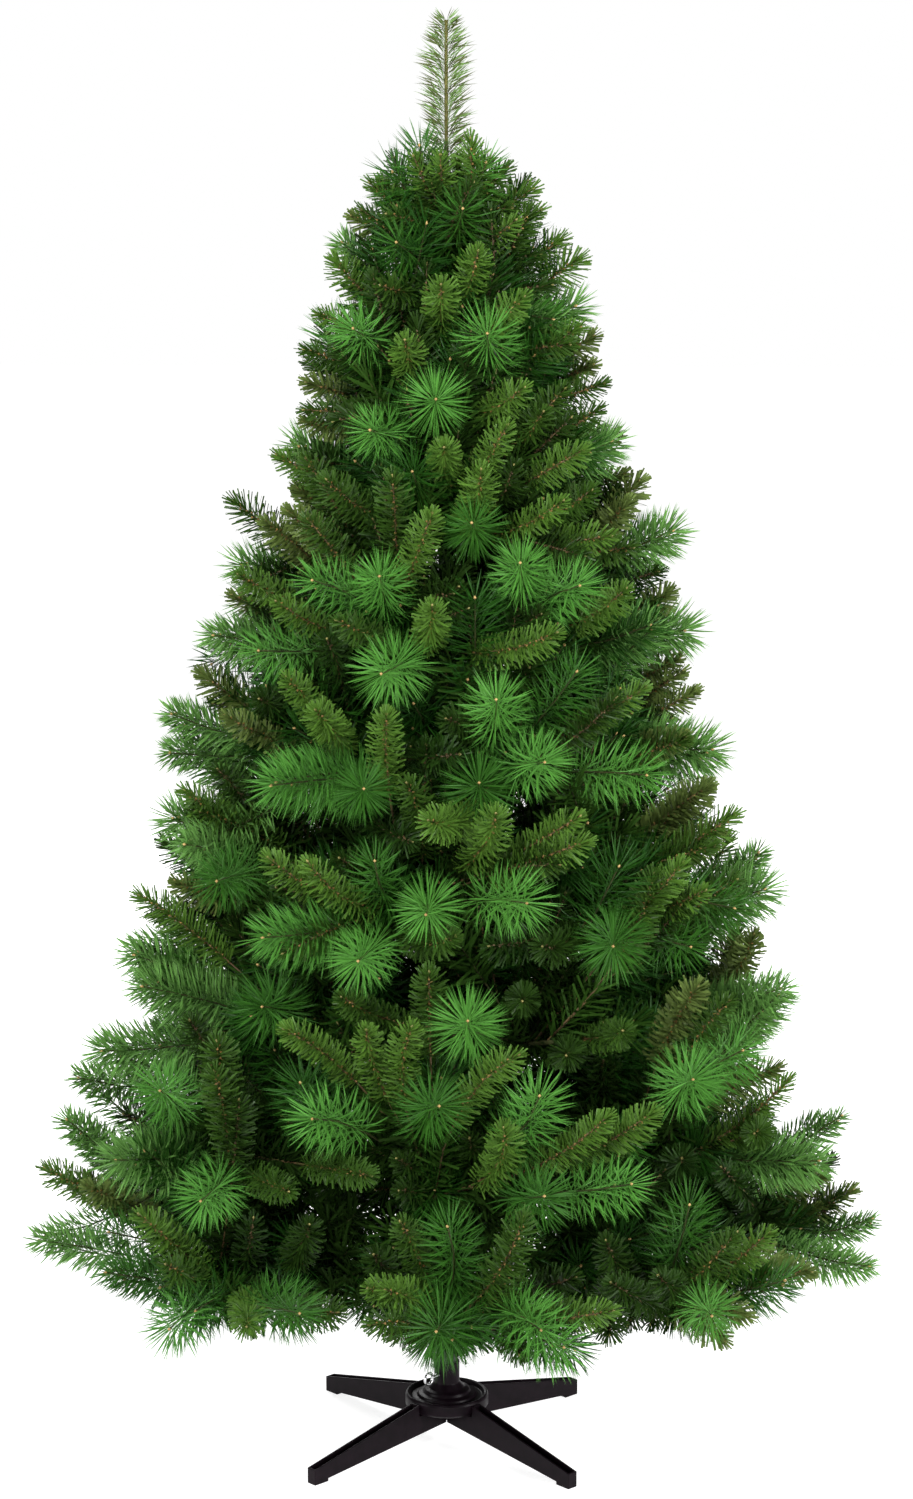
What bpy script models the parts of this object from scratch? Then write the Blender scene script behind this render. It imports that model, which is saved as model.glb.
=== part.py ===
"""An artificial Christmas tree of mixed fir and pine tips, on its four-legged stand.

Units are metres and +Z is up. The origin is on the floor, under the axis of the trunk.
The stand, the trunk and the boughs are plain limbs. Each mass of foliage is one node: a stem,
and sprays that grow from it towards the outline of the crown by a seeded rule, each a slim core
that needles stand out of. A spray that would touch another mass or a limb is turned, made
smaller or left out.
"""

import math
import random
from collections import namedtuple

import bmesh
import bpy
from mathutils import Vector
from mathutils.bvhtree import BVHTree

# Whole tree
TREE_HEIGHT = 2.10
CLEARANCE = 0.0003
SEED = 41

# Outline of the crown, turned about the trunk's axis
CROWN_TOP = 1.96
CROWN_FOOT = 0.33
CROWN_TOP_RADIUS = 0.100
CROWN_FOOT_RADIUS = 0.655
CROWN_SWELL = 0.95
CROWN_FLOOR = 0.275

# Tiers of branches, from the lowest: how many, the turn of the first one in degrees, the height
# of their outer tips, how far a branch rises from its collar, sprays to a mass, and how far out
# the bare bough reaches (0 where the mass grows straight from its collar)
Tier = namedtuple("Tier", "masses turn tip_height rise sprays bough_reach")
TIERS = (
    Tier(8, 0.0, 0.335, 0.000, 6, 0.20),
    Tier(6, 30.0, 0.535, 0.070, 7, 0.17),
    Tier(5, 8.0, 0.735, 0.090, 6, 0.0),
    Tier(5, 44.0, 0.930, 0.100, 5, 0.0),
    Tier(4, 20.0, 1.120, 0.105, 5, 0.0),
    Tier(4, 62.0, 1.305, 0.110, 5, 0.0),
    Tier(3, 35.0, 1.485, 0.110, 5, 0.0),
    Tier(3, 95.0, 1.655, 0.110, 4, 0.0),
)
TIER_SPACING = 0.200

# The cell of a mass, which its tips are spread over: its middle and half its height in tiers, how
# far across it they go, and the golden turn and first turn of the spiral that they lie on
CELL_MIDDLE = 0.45
CELL_HALF_HEIGHT = 0.75
CELL_SPREAD = 0.88
GOLDEN_TURN = 137.5
FIRST_TURN = 23.0
LOWEST_TIP = 0.295

# How a branch runs: the share of its leading spray that lies past its end, the least share of
# the crown's radius that it has, and where its curve turns upwards
LEAD_BEYOND = 0.75
LEAST_BRANCH = 0.45
BRANCH_TURN = 0.35

# Trunk: a steel pole in three sections, with a flat-sided collar for each tier
POLE_RADII = (0.016, 0.0140, 0.0115)
POLE_JOINTS = (0.700, 1.250)
POLE_FOOT = 0.0585
POLE_TOP = 1.740
SLEEVE_HEIGHT = 0.040
SLEEVE_WALL = 0.0015
COLLAR_HEIGHT = 0.026
COLLAR_APOTHEM = 0.030
COLLAR_APOTHEM_TOP = 0.022
POLE_SIDES = 8

# Boughs and the stems of masses
BOUGH_ROOT_RADIUS = 0.0100
BOUGH_TIP_RADIUS = 0.0075
BOUGH_SIDES = 6
BOUGH_BANDS = 2
STEM_ROOT_RADIUS = 0.0075
STEM_RADIUS = 0.0125
STEM_SIDES = 4
STEM_BANDS = 2

# Sprays of needles, drawn a little larger than life
Kind = namedtuple("Kind", "length core needle slant bands rows reach lift spread")
FIR = Kind(0.215, 0.0280, 0.044, 48.0, bands=3, rows=1, reach=0.26, lift=48.0, spread=45.0)
TOP_FIR = Kind(0.150, 0.0210, 0.036, 48.0, bands=3, rows=1, reach=0.19, lift=62.0, spread=28.0)
PINE = Kind(0.215, 0.0300, 0.064, 54.0, bands=3, rows=1, reach=0.27, lift=4.0, spread=30.0)
LEADER = Kind(0.185, 0.0150, 0.032, 40.0, bands=5, rows=2, reach=0.20, lift=90.0, spread=0.0)
LEADER_FOOT = 1.925
LEADER_SPRAYS = 6
LEADER_TIPS = 1.880
LEADER_TIPS_RISE = 0.060
LEADER_TIPS_ORDER = 3
LEADER_TURN = 20.0
SPRAY_SIDES = 3
TWIG_RADIUS = 0.006
BARE_TWIG = 0.035
CORE_TAPER = 0.3
POINT_BAND = 0.8
LEAD_SUNK = 0.03

# Which sprays are pine: all that grow low in their cell, and this share of the others
LOW_IN_CELL = -0.1
STRAY_PINES = 0.15
INNERMOST_REACH = 0.86
OUTERMOST_REACH = 0.98

# Where a twig leaves its stem: the places that are tried, and how far its length and its angles
# may be from what its kind likes
ROOT_PLACES = 20
FIRST_ROOT_PLACE = 3
REACH_TOLERANCE = 0.05
ANGLE_TOLERANCE = 25.0

# Tries for a spray: at each one it is smaller and strays further, and it keeps these gaps
MAX_TRIES = 16
SHRINK_A_TRY = 0.022
STRAY_A_TRY = 0.012
GAP_TO_OTHERS = 0.0012
GAP_TO_OWN = 0.0005

# Stand of black plastic
LEG_REACH = 0.269
LEG_WIDTH = 0.017
LEG_FOOT_TOP = 0.0235
LEG_ROOT_TOP = 0.0690
LEG_SEAT_TOP = 0.0520
LEG_ROOT_UNDERSIDE = 0.028
LEG_FOOT_UNDERSIDE = 0.0045
LEG_WALL = 0.0027
LEG_GAP = 0.0008
LEG_TO_HUB_GAP = 0.0006
PAD_LENGTH = 0.026
HUB_RADIUS = 0.0625
HUB_RIM_TOP = 0.0735
HUB_EDGE = 0.0035
HUB_EDGE_HEIGHT = 0.004
SOCKET_RADIUS = 0.0190
SOCKET_TOP = 0.122
HUB_SPIGOT_RADIUS = 0.0080
HUB_SPIGOT_LIFT = 0.004
HUB_SIDES = 14
SCREW_AZIMUTH = 232.0
SCREW_HEIGHT = 0.104
SCREW_SHANK_RADIUS = 0.0030
SCREW_SHANK_LENGTH = 0.0150
SCREW_SIDES = 10
SCREW_EYE_RADIUS = 0.0085
SCREW_EYE_WIRE = 0.0022
EYE_STEPS = 12
EYE_SIDES = 5
EYE_FIRST_SIDE = 0.3

# The hub's bead, trough and steps from its edge inwards: inset, and height over the bead's top
HUB_RINGS = (
    (0.0000, -0.004),
    (0.0025, 0.000),
    (0.0065, -0.001),
    (0.0095, -0.006),
    (0.0180, -0.005),
    (0.0195, -0.001),
    (0.0270, 0.000),
    (0.0290, 0.005),
    (0.0355, 0.007),
    (0.0435, 0.016),
)

# Finishes: base colour, roughness and metallic value
BLACK_PLASTIC = ((0.020, 0.017, 0.019), 0.42, 0.0)
BRIGHT_STEEL = ((0.62, 0.62, 0.63), 0.25, 1.0)
GREEN_STEEL = ((0.018, 0.055, 0.018), 0.50, 0.0)
NEEDLE_GREEN = ((0.045, 0.150, 0.022), 0.60, 0.0)
LEADER_GREEN = ((0.055, 0.170, 0.030), 0.60, 0.0)

Mass = namedtuple("Mass", "name stem targets random solids")


def clear_scene():
    for obj in list(bpy.data.objects):
        bpy.data.objects.remove(obj)


def finish_material(name, finish):
    colour, roughness, metallic = finish
    material = bpy.data.materials.new(name)
    material.use_nodes = True
    shader = material.node_tree.nodes["Principled BSDF"]
    shader.inputs["Base Color"].default_value = (*colour, 1.0)
    shader.inputs["Roughness"].default_value = roughness
    shader.inputs["Metallic"].default_value = metallic
    return material


def add_object(name, mesh, finish=None):
    obj = bpy.data.objects.new(name, mesh)
    bpy.context.scene.collection.objects.link(obj)
    if finish is not None:
        mesh.materials.append(finish_material(name, finish))
    return obj


def mesh_from(name, solid):
    """A mesh of (points, faces), with its faces turned outwards."""
    points, faces = solid
    shape = bmesh.new()
    corners = [shape.verts.new(point) for point in points]
    for face in faces:
        shape.faces.new([corners[i] for i in face])
    bmesh.ops.recalc_face_normals(shape, faces=shape.faces)
    mesh = bpy.data.meshes.new(name)
    shape.to_mesh(mesh)
    shape.free()
    return mesh


def apply_boolean(obj, operation, operand):
    """Joins an object with, or cuts it by, an object or a collection, which is then removed."""
    modifier = obj.modifiers.new("boolean", "BOOLEAN")
    modifier.operation = operation
    modifier.solver = "EXACT"
    is_collection = isinstance(operand, bpy.types.Collection)
    if is_collection:
        modifier.operand_type = "COLLECTION"
        modifier.collection = operand
    else:
        modifier.object = operand
    bpy.context.view_layer.update()
    graph = bpy.context.evaluated_depsgraph_get()
    joined = bpy.data.meshes.new_from_object(obj.evaluated_get(graph))
    obj.modifiers.clear()
    obj.data = joined
    for used in list(operand.objects) if is_collection else [operand]:
        bpy.data.objects.remove(used)
    if is_collection:
        bpy.data.collections.remove(operand)


def frame_along(direction):
    """Two unit vectors across a direction: the first level, the second as upright as it can be."""
    level = Vector((0.0, 0.0, 1.0)).cross(direction)
    if level.length < 1e-4:
        level = Vector((0.0, 1.0, 0.0))
    level.normalize()
    return level, direction.cross(level).normalized()


def ring(centre, direction, radius, sides, turn):
    level, upright = frame_along(direction)
    angles = (turn + 2.0 * math.pi * i / sides for i in range(sides))
    return [centre + radius * (math.cos(a) * level + math.sin(a) * upright) for a in angles]


def limb_solid(stations, sides, turn=0.0, tip=None, needles=(), slant=90.0):
    """A closed limb over (centre, direction, radius) stations, and the needles standing out of it.

    Each ring of corners is a half step round from the last one. needles gives, for each band
    between two rings, the length of its needles and whether it has a second row. A needle is
    one face of the band drawn out to a point, at its slant from the limb's own direction.
    """
    step = math.pi / sides
    points = []
    for number, (centre, direction, radius) in enumerate(stations):
        points += ring(centre, direction, radius, sides, turn + step * number)
    faces = [(0, i + 1, i) for i in range(1, sides - 1)]
    for band in range(len(stations) - 1):
        low = band * sides
        high = low + sides
        length, second_row = needles[band] if needles else (0.0, False)
        axis = (stations[band][0] + stations[band + 1][0]) / 2.0
        for i in range(sides):
            after = (i + 1) % sides
            first = (low + i, low + after, high + i)
            second = (low + after, high + after, high + i)
            for face, grows in ((first, length > 0.0), (second, length > 0.0 and second_row)):
                if grows:
                    points.append(needle_tip(points, face, axis, stations[band][1], length, slant))
                    apex = len(points) - 1
                    faces += [(face[k], face[(k + 1) % 3], apex) for k in range(3)]
                else:
                    faces.append(face)
    last = sides * (len(stations) - 1)
    if tip is None:
        faces += [(last, last + i, last + i + 1) for i in range(1, sides - 1)]
    else:
        points.append(tip)
        faces += [(last + i, last + (i + 1) % sides, len(points) - 1) for i in range(sides)]
    return points, faces


def needle_tip(points, face, axis, direction, length, slant):
    middle = (points[face[0]] + points[face[1]] + points[face[2]]) / 3.0
    out = middle - axis
    out = (out - out.dot(direction) * direction).normalized()
    lean = math.radians(slant)
    return middle + length * (math.sin(lean) * out + math.cos(lean) * direction)


def curve_point(path, share):
    """A point on the quadratic curve through a path's start, control point and end."""
    start, control, end = path
    back = 1.0 - share
    return back * back * start + 2.0 * back * share * control + share * share * end


def curve_direction(path, share):
    start, control, end = path
    return ((1.0 - share) * (control - start) + share * (end - control)).normalized()


def polar(azimuth, radius, height):
    angle = math.radians(azimuth)
    return Vector((radius * math.cos(angle), radius * math.sin(angle), height))


def crown_radius(height):
    share = (CROWN_TOP - height) / (CROWN_TOP - CROWN_FOOT)
    share = min(max(share, 0.0), 1.0)
    return CROWN_TOP_RADIUS + (CROWN_FOOT_RADIUS - CROWN_TOP_RADIUS) * share**CROWN_SWELL


def collar_apothem(tier):
    share = tier / (len(TIERS) - 1)
    return COLLAR_APOTHEM + (COLLAR_APOTHEM_TOP - COLLAR_APOTHEM) * share


def collar_height(tier):
    return TIERS[tier].tip_height - TIERS[tier].rise


def branch_azimuth(tier, index):
    return TIERS[tier].turn + 360.0 * index / TIERS[tier].masses


def branch_path(tier, index):
    """The curve of a whole branch, from its collar's flat to where its leading spray begins."""
    plan = TIERS[tier]
    azimuth = branch_azimuth(tier, index)
    tip_radius = crown_radius(plan.tip_height)
    foot = collar_height(tier)
    end_radius = max(tip_radius - LEAD_BEYOND * PINE.length, LEAST_BRANCH * tip_radius)
    end_height = foot + plan.rise * end_radius / tip_radius
    root_radius = collar_apothem(tier) + CLEARANCE
    start = polar(azimuth, root_radius, foot)
    control = polar(azimuth, root_radius + BRANCH_TURN * (end_radius - root_radius), foot)
    return start, control, polar(azimuth, end_radius, end_height)


def share_at_radius(path, radius):
    """How far along a path its distance from the trunk's axis reaches a radius."""
    low, high = 0.0, 1.0
    for _ in range(30):
        middle = (low + high) / 2.0
        if curve_point(path, middle).xy.length < radius:
            low = middle
        else:
            high = middle
    return low


def split_path(path, share):
    """The two halves of a path, which meet at a share of its length."""
    start, control, end = path
    middle = curve_point(path, share)
    first = (start, start.lerp(control, share), middle)
    return first, (middle, control.lerp(end, share), end)


def bough_solid(path):
    stations = []
    for step in range(BOUGH_BANDS + 1):
        share = step / BOUGH_BANDS
        radius = BOUGH_ROOT_RADIUS + (BOUGH_TIP_RADIUS - BOUGH_ROOT_RADIUS) * share
        stations.append((curve_point(path, share), curve_direction(path, share), radius))
    return limb_solid(stations, BOUGH_SIDES)


def stem_solid(path):
    stations = [(path[0], curve_direction(path, 0.0), STEM_ROOT_RADIUS)]
    for band in range(STEM_BANDS):
        share = (band + 1) / STEM_BANDS
        stations.append((curve_point(path, share), curve_direction(path, share), STEM_RADIUS))
    return limb_solid(stations, STEM_SIDES)


def spray_solid(root, tip, kind, size, grow=0.0, turn=0.0):
    """A twig with its needles: a bare root, then bands of needles, and a point.

    grow makes the solid fatter, for the test of what it would touch.
    """
    direction = (tip - root).normalized()
    whole = (tip - root).length
    covered = min(kind.length * size, whole - BARE_TWIG)
    stations = [(root, direction, TWIG_RADIUS + grow)]
    needles = [(0.0, False)]
    for band in range(kind.bands + 1):
        share = band / (kind.bands + POINT_BAND)
        centre = root + direction * (whole - covered * (1.0 - share))
        radius = kind.core * size * (1.0 - CORE_TAPER * share)
        stations.append((centre, direction, radius + grow))
        if band < kind.bands:
            second_row = kind.rows == 2 and band == kind.bands - 1
            needles.append((kind.needle * size + grow, second_row))
    return limb_solid(stations, SPRAY_SIDES, turn, tip + grow * direction, needles, kind.slant)


def tree_of(solid):
    points, faces = solid
    return BVHTree.FromPolygons(points, faces, epsilon=0.0)


def bounds_of(solid):
    points = solid[0]
    low = Vector([min(point[axis] for point in points) for axis in range(3)])
    high = Vector([max(point[axis] for point in points) for axis in range(3)])
    return low, high


class Occupied:
    """What is built so far, by the name of its node, for the test of what a new spray touches."""

    def __init__(self):
        self.solids = []

    def add(self, owner, solid):
        self.solids.append((owner, bounds_of(solid), tree_of(solid)))

    def touches(self, owner, solid):
        low, high = bounds_of(solid)
        tree = None
        for other, (other_low, other_high), other_tree in self.solids:
            if other == owner:
                continue
            if any(low[a] > other_high[a] or high[a] < other_low[a] for a in range(3)):
                continue
            tree = tree or tree_of(solid)
            if tree.overlap(other_tree):
                return True
        return False


def spread_in_cell(number, count):
    """Where in its cell a spray's tip goes: across and up, each from -1 to 1, spread evenly."""
    if number == 0:
        return 0.0, 0.0
    angle = math.radians(GOLDEN_TURN * number + FIRST_TURN)
    radius = CELL_SPREAD * math.sqrt(number / (count - 1))
    return radius * math.cos(angle), radius * math.sin(angle)


def tier_targets(tier, index, draw):
    """The kind and the tip of each spray of a mass, the leading one first."""
    plan = TIERS[tier]
    half_width = 180.0 / plan.masses
    targets = []
    for number in range(plan.sprays):
        across, up = spread_in_cell(number, plan.sprays)
        rise = 0.0 if number == 0 else CELL_MIDDLE + CELL_HALF_HEIGHT * up
        height = max(plan.tip_height + TIER_SPACING * rise, LOWEST_TIP)
        is_pine = number == 0 or up < LOW_IN_CELL or draw.random() < STRAY_PINES
        kind = PINE if is_pine else FIR
        reach = 1.0 if number == 0 else draw.uniform(INNERMOST_REACH, OUTERMOST_REACH)
        azimuth = branch_azimuth(tier, index) + half_width * across
        targets.append((kind, polar(azimuth, reach * crown_radius(height), height)))
    return targets


def root_on_stem(stem, target, kind):
    """The point on a stem from which a twig reaches its target best, at the kind's own angle."""
    best = None
    for place in range(FIRST_ROOT_PLACE, ROOT_PLACES):
        share = place / ROOT_PLACES
        root = curve_point(stem, share)
        line = target - root
        lift = math.degrees(math.asin(line.z / line.length))
        turn = math.degrees(line.angle(curve_direction(stem, share)))
        cost = ((line.length - kind.reach) / REACH_TOLERANCE) ** 2
        cost += ((lift - kind.lift) / ANGLE_TOLERANCE) ** 2
        cost += ((turn - kind.spread) / ANGLE_TOLERANCE) ** 2
        if best is None or cost < best[0]:
            best = (cost, root)
    return best[1]


def plan_masses():
    """The stem and the sprays' targets of every mass, and the boughs that carry the lowest."""
    boughs = []
    masses = []
    for tier, plan in enumerate(TIERS):
        for index in range(plan.masses):
            draw = random.Random(SEED + 100 * tier + index)
            path = branch_path(tier, index)
            if plan.bough_reach:
                bough, path = split_path(path, share_at_radius(path, plan.bough_reach))
                boughs.append((f"bough_{tier + 1}_{index + 1}", bough))
                gap = CLEARANCE * curve_direction(path, 0.0)
                path = tuple(point + gap for point in path)
            name = f"mass_{tier + 1}_{index + 1}"
            targets = tier_targets(tier, index, draw)
            masses.append(Mass(name, path, targets, draw, []))
    masses.append(plan_leader())
    return boughs, masses


def plan_leader():
    """The top of the tree: a stem that carries on from the trunk, with the highest sprays."""
    draw = random.Random(SEED)
    foot = POLE_TOP + CLEARANCE
    stem = tuple(Vector((0.0, 0.0, foot + share * (LEADER_FOOT - foot))) for share in (0, 0.5, 1))
    targets = [(LEADER, Vector((0.0, 0.0, TREE_HEIGHT)))]
    for number in range(LEADER_SPRAYS):
        step = number * LEADER_TIPS_ORDER % LEADER_SPRAYS
        height = LEADER_TIPS + LEADER_TIPS_RISE * step / (LEADER_SPRAYS - 1)
        azimuth = LEADER_TURN + 360.0 * number / LEADER_SPRAYS
        targets.append((TOP_FIR, polar(azimuth, crown_radius(height), height)))
    return Mass("leader", stem, targets, draw, [])


def grow_stems(masses, occupied):
    for mass in masses:
        solid = stem_solid(mass.stem)
        mass.solids.append(solid)
        occupied.add(mass.name, solid)


def needles_start(root, tip, kind, size):
    """Where the needles of a spray start, a little outside its bare twig."""
    covered = min(kind.length * size, (tip - root).length - BARE_TWIG)
    return tip - (covered + BARE_TWIG) * (tip - root).normalized()


def grow_spray(mass, number, occupied, own):
    """Adds one spray of a mass, at the first try that touches nothing, and says if it did."""
    kind, target = mass.targets[number]
    for attempt in range(MAX_TRIES):
        size = 1.0 - SHRINK_A_TRY * attempt
        stray = STRAY_A_TRY * attempt
        offset = Vector([mass.random.uniform(-stray, stray) for _ in range(3)])
        tip = target if number == 0 else target + offset
        tip.z = max(tip.z, CROWN_FLOOR)
        limit = crown_radius(tip.z) / max(tip.xy.length, 1e-6)
        if limit < 1.0:
            tip.x *= limit
            tip.y *= limit
        if number == 0:
            root = mass.stem[2] - LEAD_SUNK * curve_direction(mass.stem, 1.0)
        else:
            root = root_on_stem(mass.stem, tip, kind)
        turn = mass.random.uniform(0.0, math.pi)
        near = needles_start(root, tip, kind, size)
        if occupied.touches(mass.name, spray_solid(root, tip, kind, size, GAP_TO_OTHERS, turn)):
            continue
        if own.touches(None, spray_solid(near, tip, kind, size, GAP_TO_OWN, turn)):
            continue
        solid = spray_solid(root, tip, kind, size, 0.0, turn)
        mass.solids.append(solid)
        occupied.add(mass.name, solid)
        own.add(mass.name, spray_solid(near, tip, kind, size, 0.0, turn))
        return True
    return False


def grow_sprays(masses, occupied):
    """Grows the sprays in rounds, one to each mass in turn, so that all get their share."""
    owns = [Occupied() for _ in masses]
    missed = 0
    for number in range(max(len(mass.targets) for mass in masses)):
        for mass, own in zip(masses, owns):
            if number < len(mass.targets) and not grow_spray(mass, number, occupied, own):
                missed += 1
    print(f"sprays left out: {missed}")


def keep_largest_piece(mesh):
    """Fills the hollows that a union has sealed, and drops loose scraps of needles."""
    shape = bmesh.new()
    shape.from_mesh(mesh)
    unseen = set(shape.faces)
    pieces = []
    while unseen:
        piece = []
        front = [unseen.pop()]
        while front:
            face = front.pop()
            piece.append(face)
            for edge in face.edges:
                for other in edge.link_faces:
                    if other in unseen:
                        unseen.remove(other)
                        front.append(other)
        pieces.append(piece)
    pieces.sort(key=len)
    for piece in pieces[:-1]:
        bmesh.ops.delete(shape, geom=piece, context="FACES")
    shape.to_mesh(mesh)
    shape.free()


def join_mass(mass):
    """One closed solid of a mass's stem and all its sprays."""
    obj = add_object(mass.name, mesh_from(mass.name, mass.solids[0]))
    sprays = bpy.data.collections.new("sprays")
    bpy.context.scene.collection.children.link(sprays)
    for solid in mass.solids[1:]:
        sprays.objects.link(bpy.data.objects.new("spray", mesh_from("spray", solid)))
    apply_boolean(obj, "UNION", sprays)
    keep_largest_piece(obj.data)
    finish = LEADER_GREEN if mass.name == "leader" else NEEDLE_GREEN
    obj.data.materials.clear()
    obj.data.materials.append(finish_material(mass.name, finish))


def turned_solid(profile, sides):
    """A solid turned about Z from (radius, height) points, from the axis round to the axis."""
    points = [Vector((0.0, 0.0, profile[0][1]))]
    faces = []
    rings = profile[1:-1]
    for radius, height in rings:
        points += [polar(360.0 * i / sides, radius, height) for i in range(sides)]
    points.append(Vector((0.0, 0.0, profile[-1][1])))
    for i in range(sides):
        after = (i + 1) % sides
        faces.append((0, 1 + after, 1 + i))
        for low in range(1, 1 + sides * (len(rings) - 1), sides):
            faces.append((low + i, low + after, low + sides + after, low + sides + i))
        last = 1 + sides * (len(rings) - 1)
        faces.append((last + i, last + after, len(points) - 1))
    return points, faces


def make_hub():
    """The stepped dish that sits on the legs, its spigot between them, and the pole's socket."""
    seat = LEG_SEAT_TOP + CLEARANCE
    bore = (POLE_RADII[0] + CLEARANCE) / math.cos(math.pi / HUB_SIDES)
    floor = POLE_FOOT - CLEARANCE
    underside = LEG_ROOT_UNDERSIDE + HUB_SPIGOT_LIFT
    profile = [
        (0.0, underside),
        (HUB_SPIGOT_RADIUS, underside),
        (HUB_SPIGOT_RADIUS, seat),
        (HUB_RADIUS - HUB_EDGE, seat),
        (HUB_RADIUS, seat + HUB_EDGE_HEIGHT),
    ]
    profile += [(HUB_RADIUS - inset, HUB_RIM_TOP + height) for inset, height in HUB_RINGS]
    profile += [
        (SOCKET_RADIUS, SOCKET_TOP),
        (bore, SOCKET_TOP),
        (bore, floor),
        (0.0, floor),
    ]
    add_object("stand_hub", mesh_from("stand_hub", turned_solid(profile, HUB_SIDES)), BLACK_PLASTIC)


def extruded_solid(outline, width):
    """An outline of (along, height) points, given width across the Y axis."""
    count = len(outline)
    points = [Vector((x, y, z)) for y in (-width / 2.0, width / 2.0) for x, z in outline]
    faces = [tuple(range(count)), tuple(range(2 * count - 1, count - 1, -1))]
    faces += [(i, (i + 1) % count, count + (i + 1) % count, count + i) for i in range(count)]
    return points, faces


def leg_underside(along):
    start = LEG_WIDTH / 2.0
    end = LEG_REACH - PAD_LENGTH
    share = (along - start) / (end - start)
    return LEG_ROOT_UNDERSIDE + (LEG_FOOT_UNDERSIDE - LEG_ROOT_UNDERSIDE) * share


def leg_mesh():
    """A leg along +X: a channel open at its top, with a pad under its outer end."""
    inner = LEG_WIDTH / 2.0 + LEG_GAP
    pad = LEG_REACH - PAD_LENGTH
    shoulder = HUB_RADIUS + LEG_TO_HUB_GAP
    outline = (
        (inner, leg_underside(inner)),
        (pad, leg_underside(pad)),
        (pad, 0.0),
        (LEG_REACH, 0.0),
        (LEG_REACH, LEG_FOOT_TOP),
        (shoulder, LEG_ROOT_TOP),
        (shoulder, LEG_SEAT_TOP),
        (inner, LEG_SEAT_TOP),
    )
    body = add_object("leg_body", mesh_from("stand_leg", extruded_solid(outline, LEG_WIDTH)))
    start = shoulder + LEG_WALL
    end = LEG_REACH - LEG_WALL
    above = LEG_ROOT_TOP + LEG_WIDTH
    groove = (
        (start, leg_underside(start) + LEG_WALL),
        (end, leg_underside(pad) + LEG_WALL),
        (end, above),
        (start, above),
    )
    cutter = add_object("groove", mesh_from("groove", extruded_solid(groove, LEG_WIDTH - 2 * LEG_WALL)))
    apply_boolean(body, "DIFFERENCE", cutter)
    mesh = body.data
    mesh.materials.clear()
    mesh.materials.append(finish_material("stand_leg", BLACK_PLASTIC))
    bpy.data.objects.remove(body)
    return mesh


def make_legs():
    mesh = leg_mesh()
    for index in range(4):
        leg = add_object(f"stand_leg_{index + 1}", mesh)
        leg.rotation_euler.z = math.radians(45.0 + 90.0 * index)


def make_thumb_screw():
    """The bright eye screw that clamps the pole, its shank's end against the socket's wall."""
    outward = polar(SCREW_AZIMUTH, 1.0, 0.0)
    flat = SOCKET_RADIUS + CLEARANCE
    foot = flat * outward + Vector((0.0, 0.0, SCREW_HEIGHT))
    end = foot + SCREW_SHANK_LENGTH * outward
    stations = [(point, outward, SCREW_SHANK_RADIUS) for point in (foot, end)]
    obj = add_object("thumb_screw", mesh_from("thumb_screw", limb_solid(stations, SCREW_SIDES)))
    eye = add_object("eye", mesh_from("eye", eye_solid(end, outward)))
    apply_boolean(obj, "UNION", eye)
    obj.data.materials.clear()
    obj.data.materials.append(finish_material("thumb_screw", BRIGHT_STEEL))


def eye_solid(near, outward):
    """A ring of round wire, upright, whose inner side starts a little inside the shank."""
    centre = near + (SCREW_EYE_RADIUS - SCREW_EYE_WIRE / 2.0) * outward
    upright = Vector((0.0, 0.0, 1.0))
    across = outward.cross(upright)
    points = []
    for step in range(EYE_STEPS):
        angle = 2.0 * math.pi * step / EYE_STEPS
        out = math.cos(angle) * outward + math.sin(angle) * upright
        for side in range(EYE_SIDES):
            turn = 2.0 * math.pi * (side + EYE_FIRST_SIDE) / EYE_SIDES
            arm = math.cos(turn) * out + math.sin(turn) * across
            points.append(centre + SCREW_EYE_RADIUS * out + SCREW_EYE_WIRE * arm)
    faces = []
    for step in range(EYE_STEPS):
        low = step * EYE_SIDES
        high = (step + 1) % EYE_STEPS * EYE_SIDES
        for side in range(EYE_SIDES):
            after = (side + 1) % EYE_SIDES
            faces.append((low + side, high + side, high + after, low + after))
    return points, faces


def make_trunk():
    """The pole, narrower at each joint, with sleeves at the joints and a collar for each tier."""
    lower, middle, upper = POLE_RADII
    first, second = POLE_JOINTS
    half = SLEEVE_HEIGHT / 2.0
    profile = [(0.0, POLE_FOOT), (lower, POLE_FOOT)]
    for joint, below, above in ((first, lower, middle), (second, middle, upper)):
        profile += [(below, joint - half), (below + SLEEVE_WALL, joint - half)]
        profile += [(below + SLEEVE_WALL, joint + half), (above, joint + half)]
    profile += [(upper, POLE_TOP), (0.0, POLE_TOP)]
    pole = add_object("trunk", mesh_from("trunk", turned_solid(profile, POLE_SIDES)))
    collars = bpy.data.collections.new("collars")
    bpy.context.scene.collection.children.link(collars)
    for tier, plan in enumerate(TIERS):
        corner = collar_apothem(tier) / math.cos(math.pi / plan.masses)
        turn = math.radians(plan.turn + 180.0 / plan.masses)
        low = collar_height(tier) - COLLAR_HEIGHT / 2.0
        points = []
        for height in (low, low + COLLAR_HEIGHT):
            for index in range(plan.masses):
                angle = turn + 2.0 * math.pi * index / plan.masses
                points.append(Vector((corner * math.cos(angle), corner * math.sin(angle), height)))
        count = plan.masses
        faces = [tuple(range(count - 1, -1, -1)), tuple(range(count, 2 * count))]
        faces += [(i, (i + 1) % count, count + (i + 1) % count, count + i) for i in range(count)]
        collars.objects.link(bpy.data.objects.new("collar", mesh_from("collar", (points, faces))))
    apply_boolean(pole, "UNION", collars)
    pole.data.materials.clear()
    pole.data.materials.append(finish_material("trunk", GREEN_STEEL))


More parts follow.
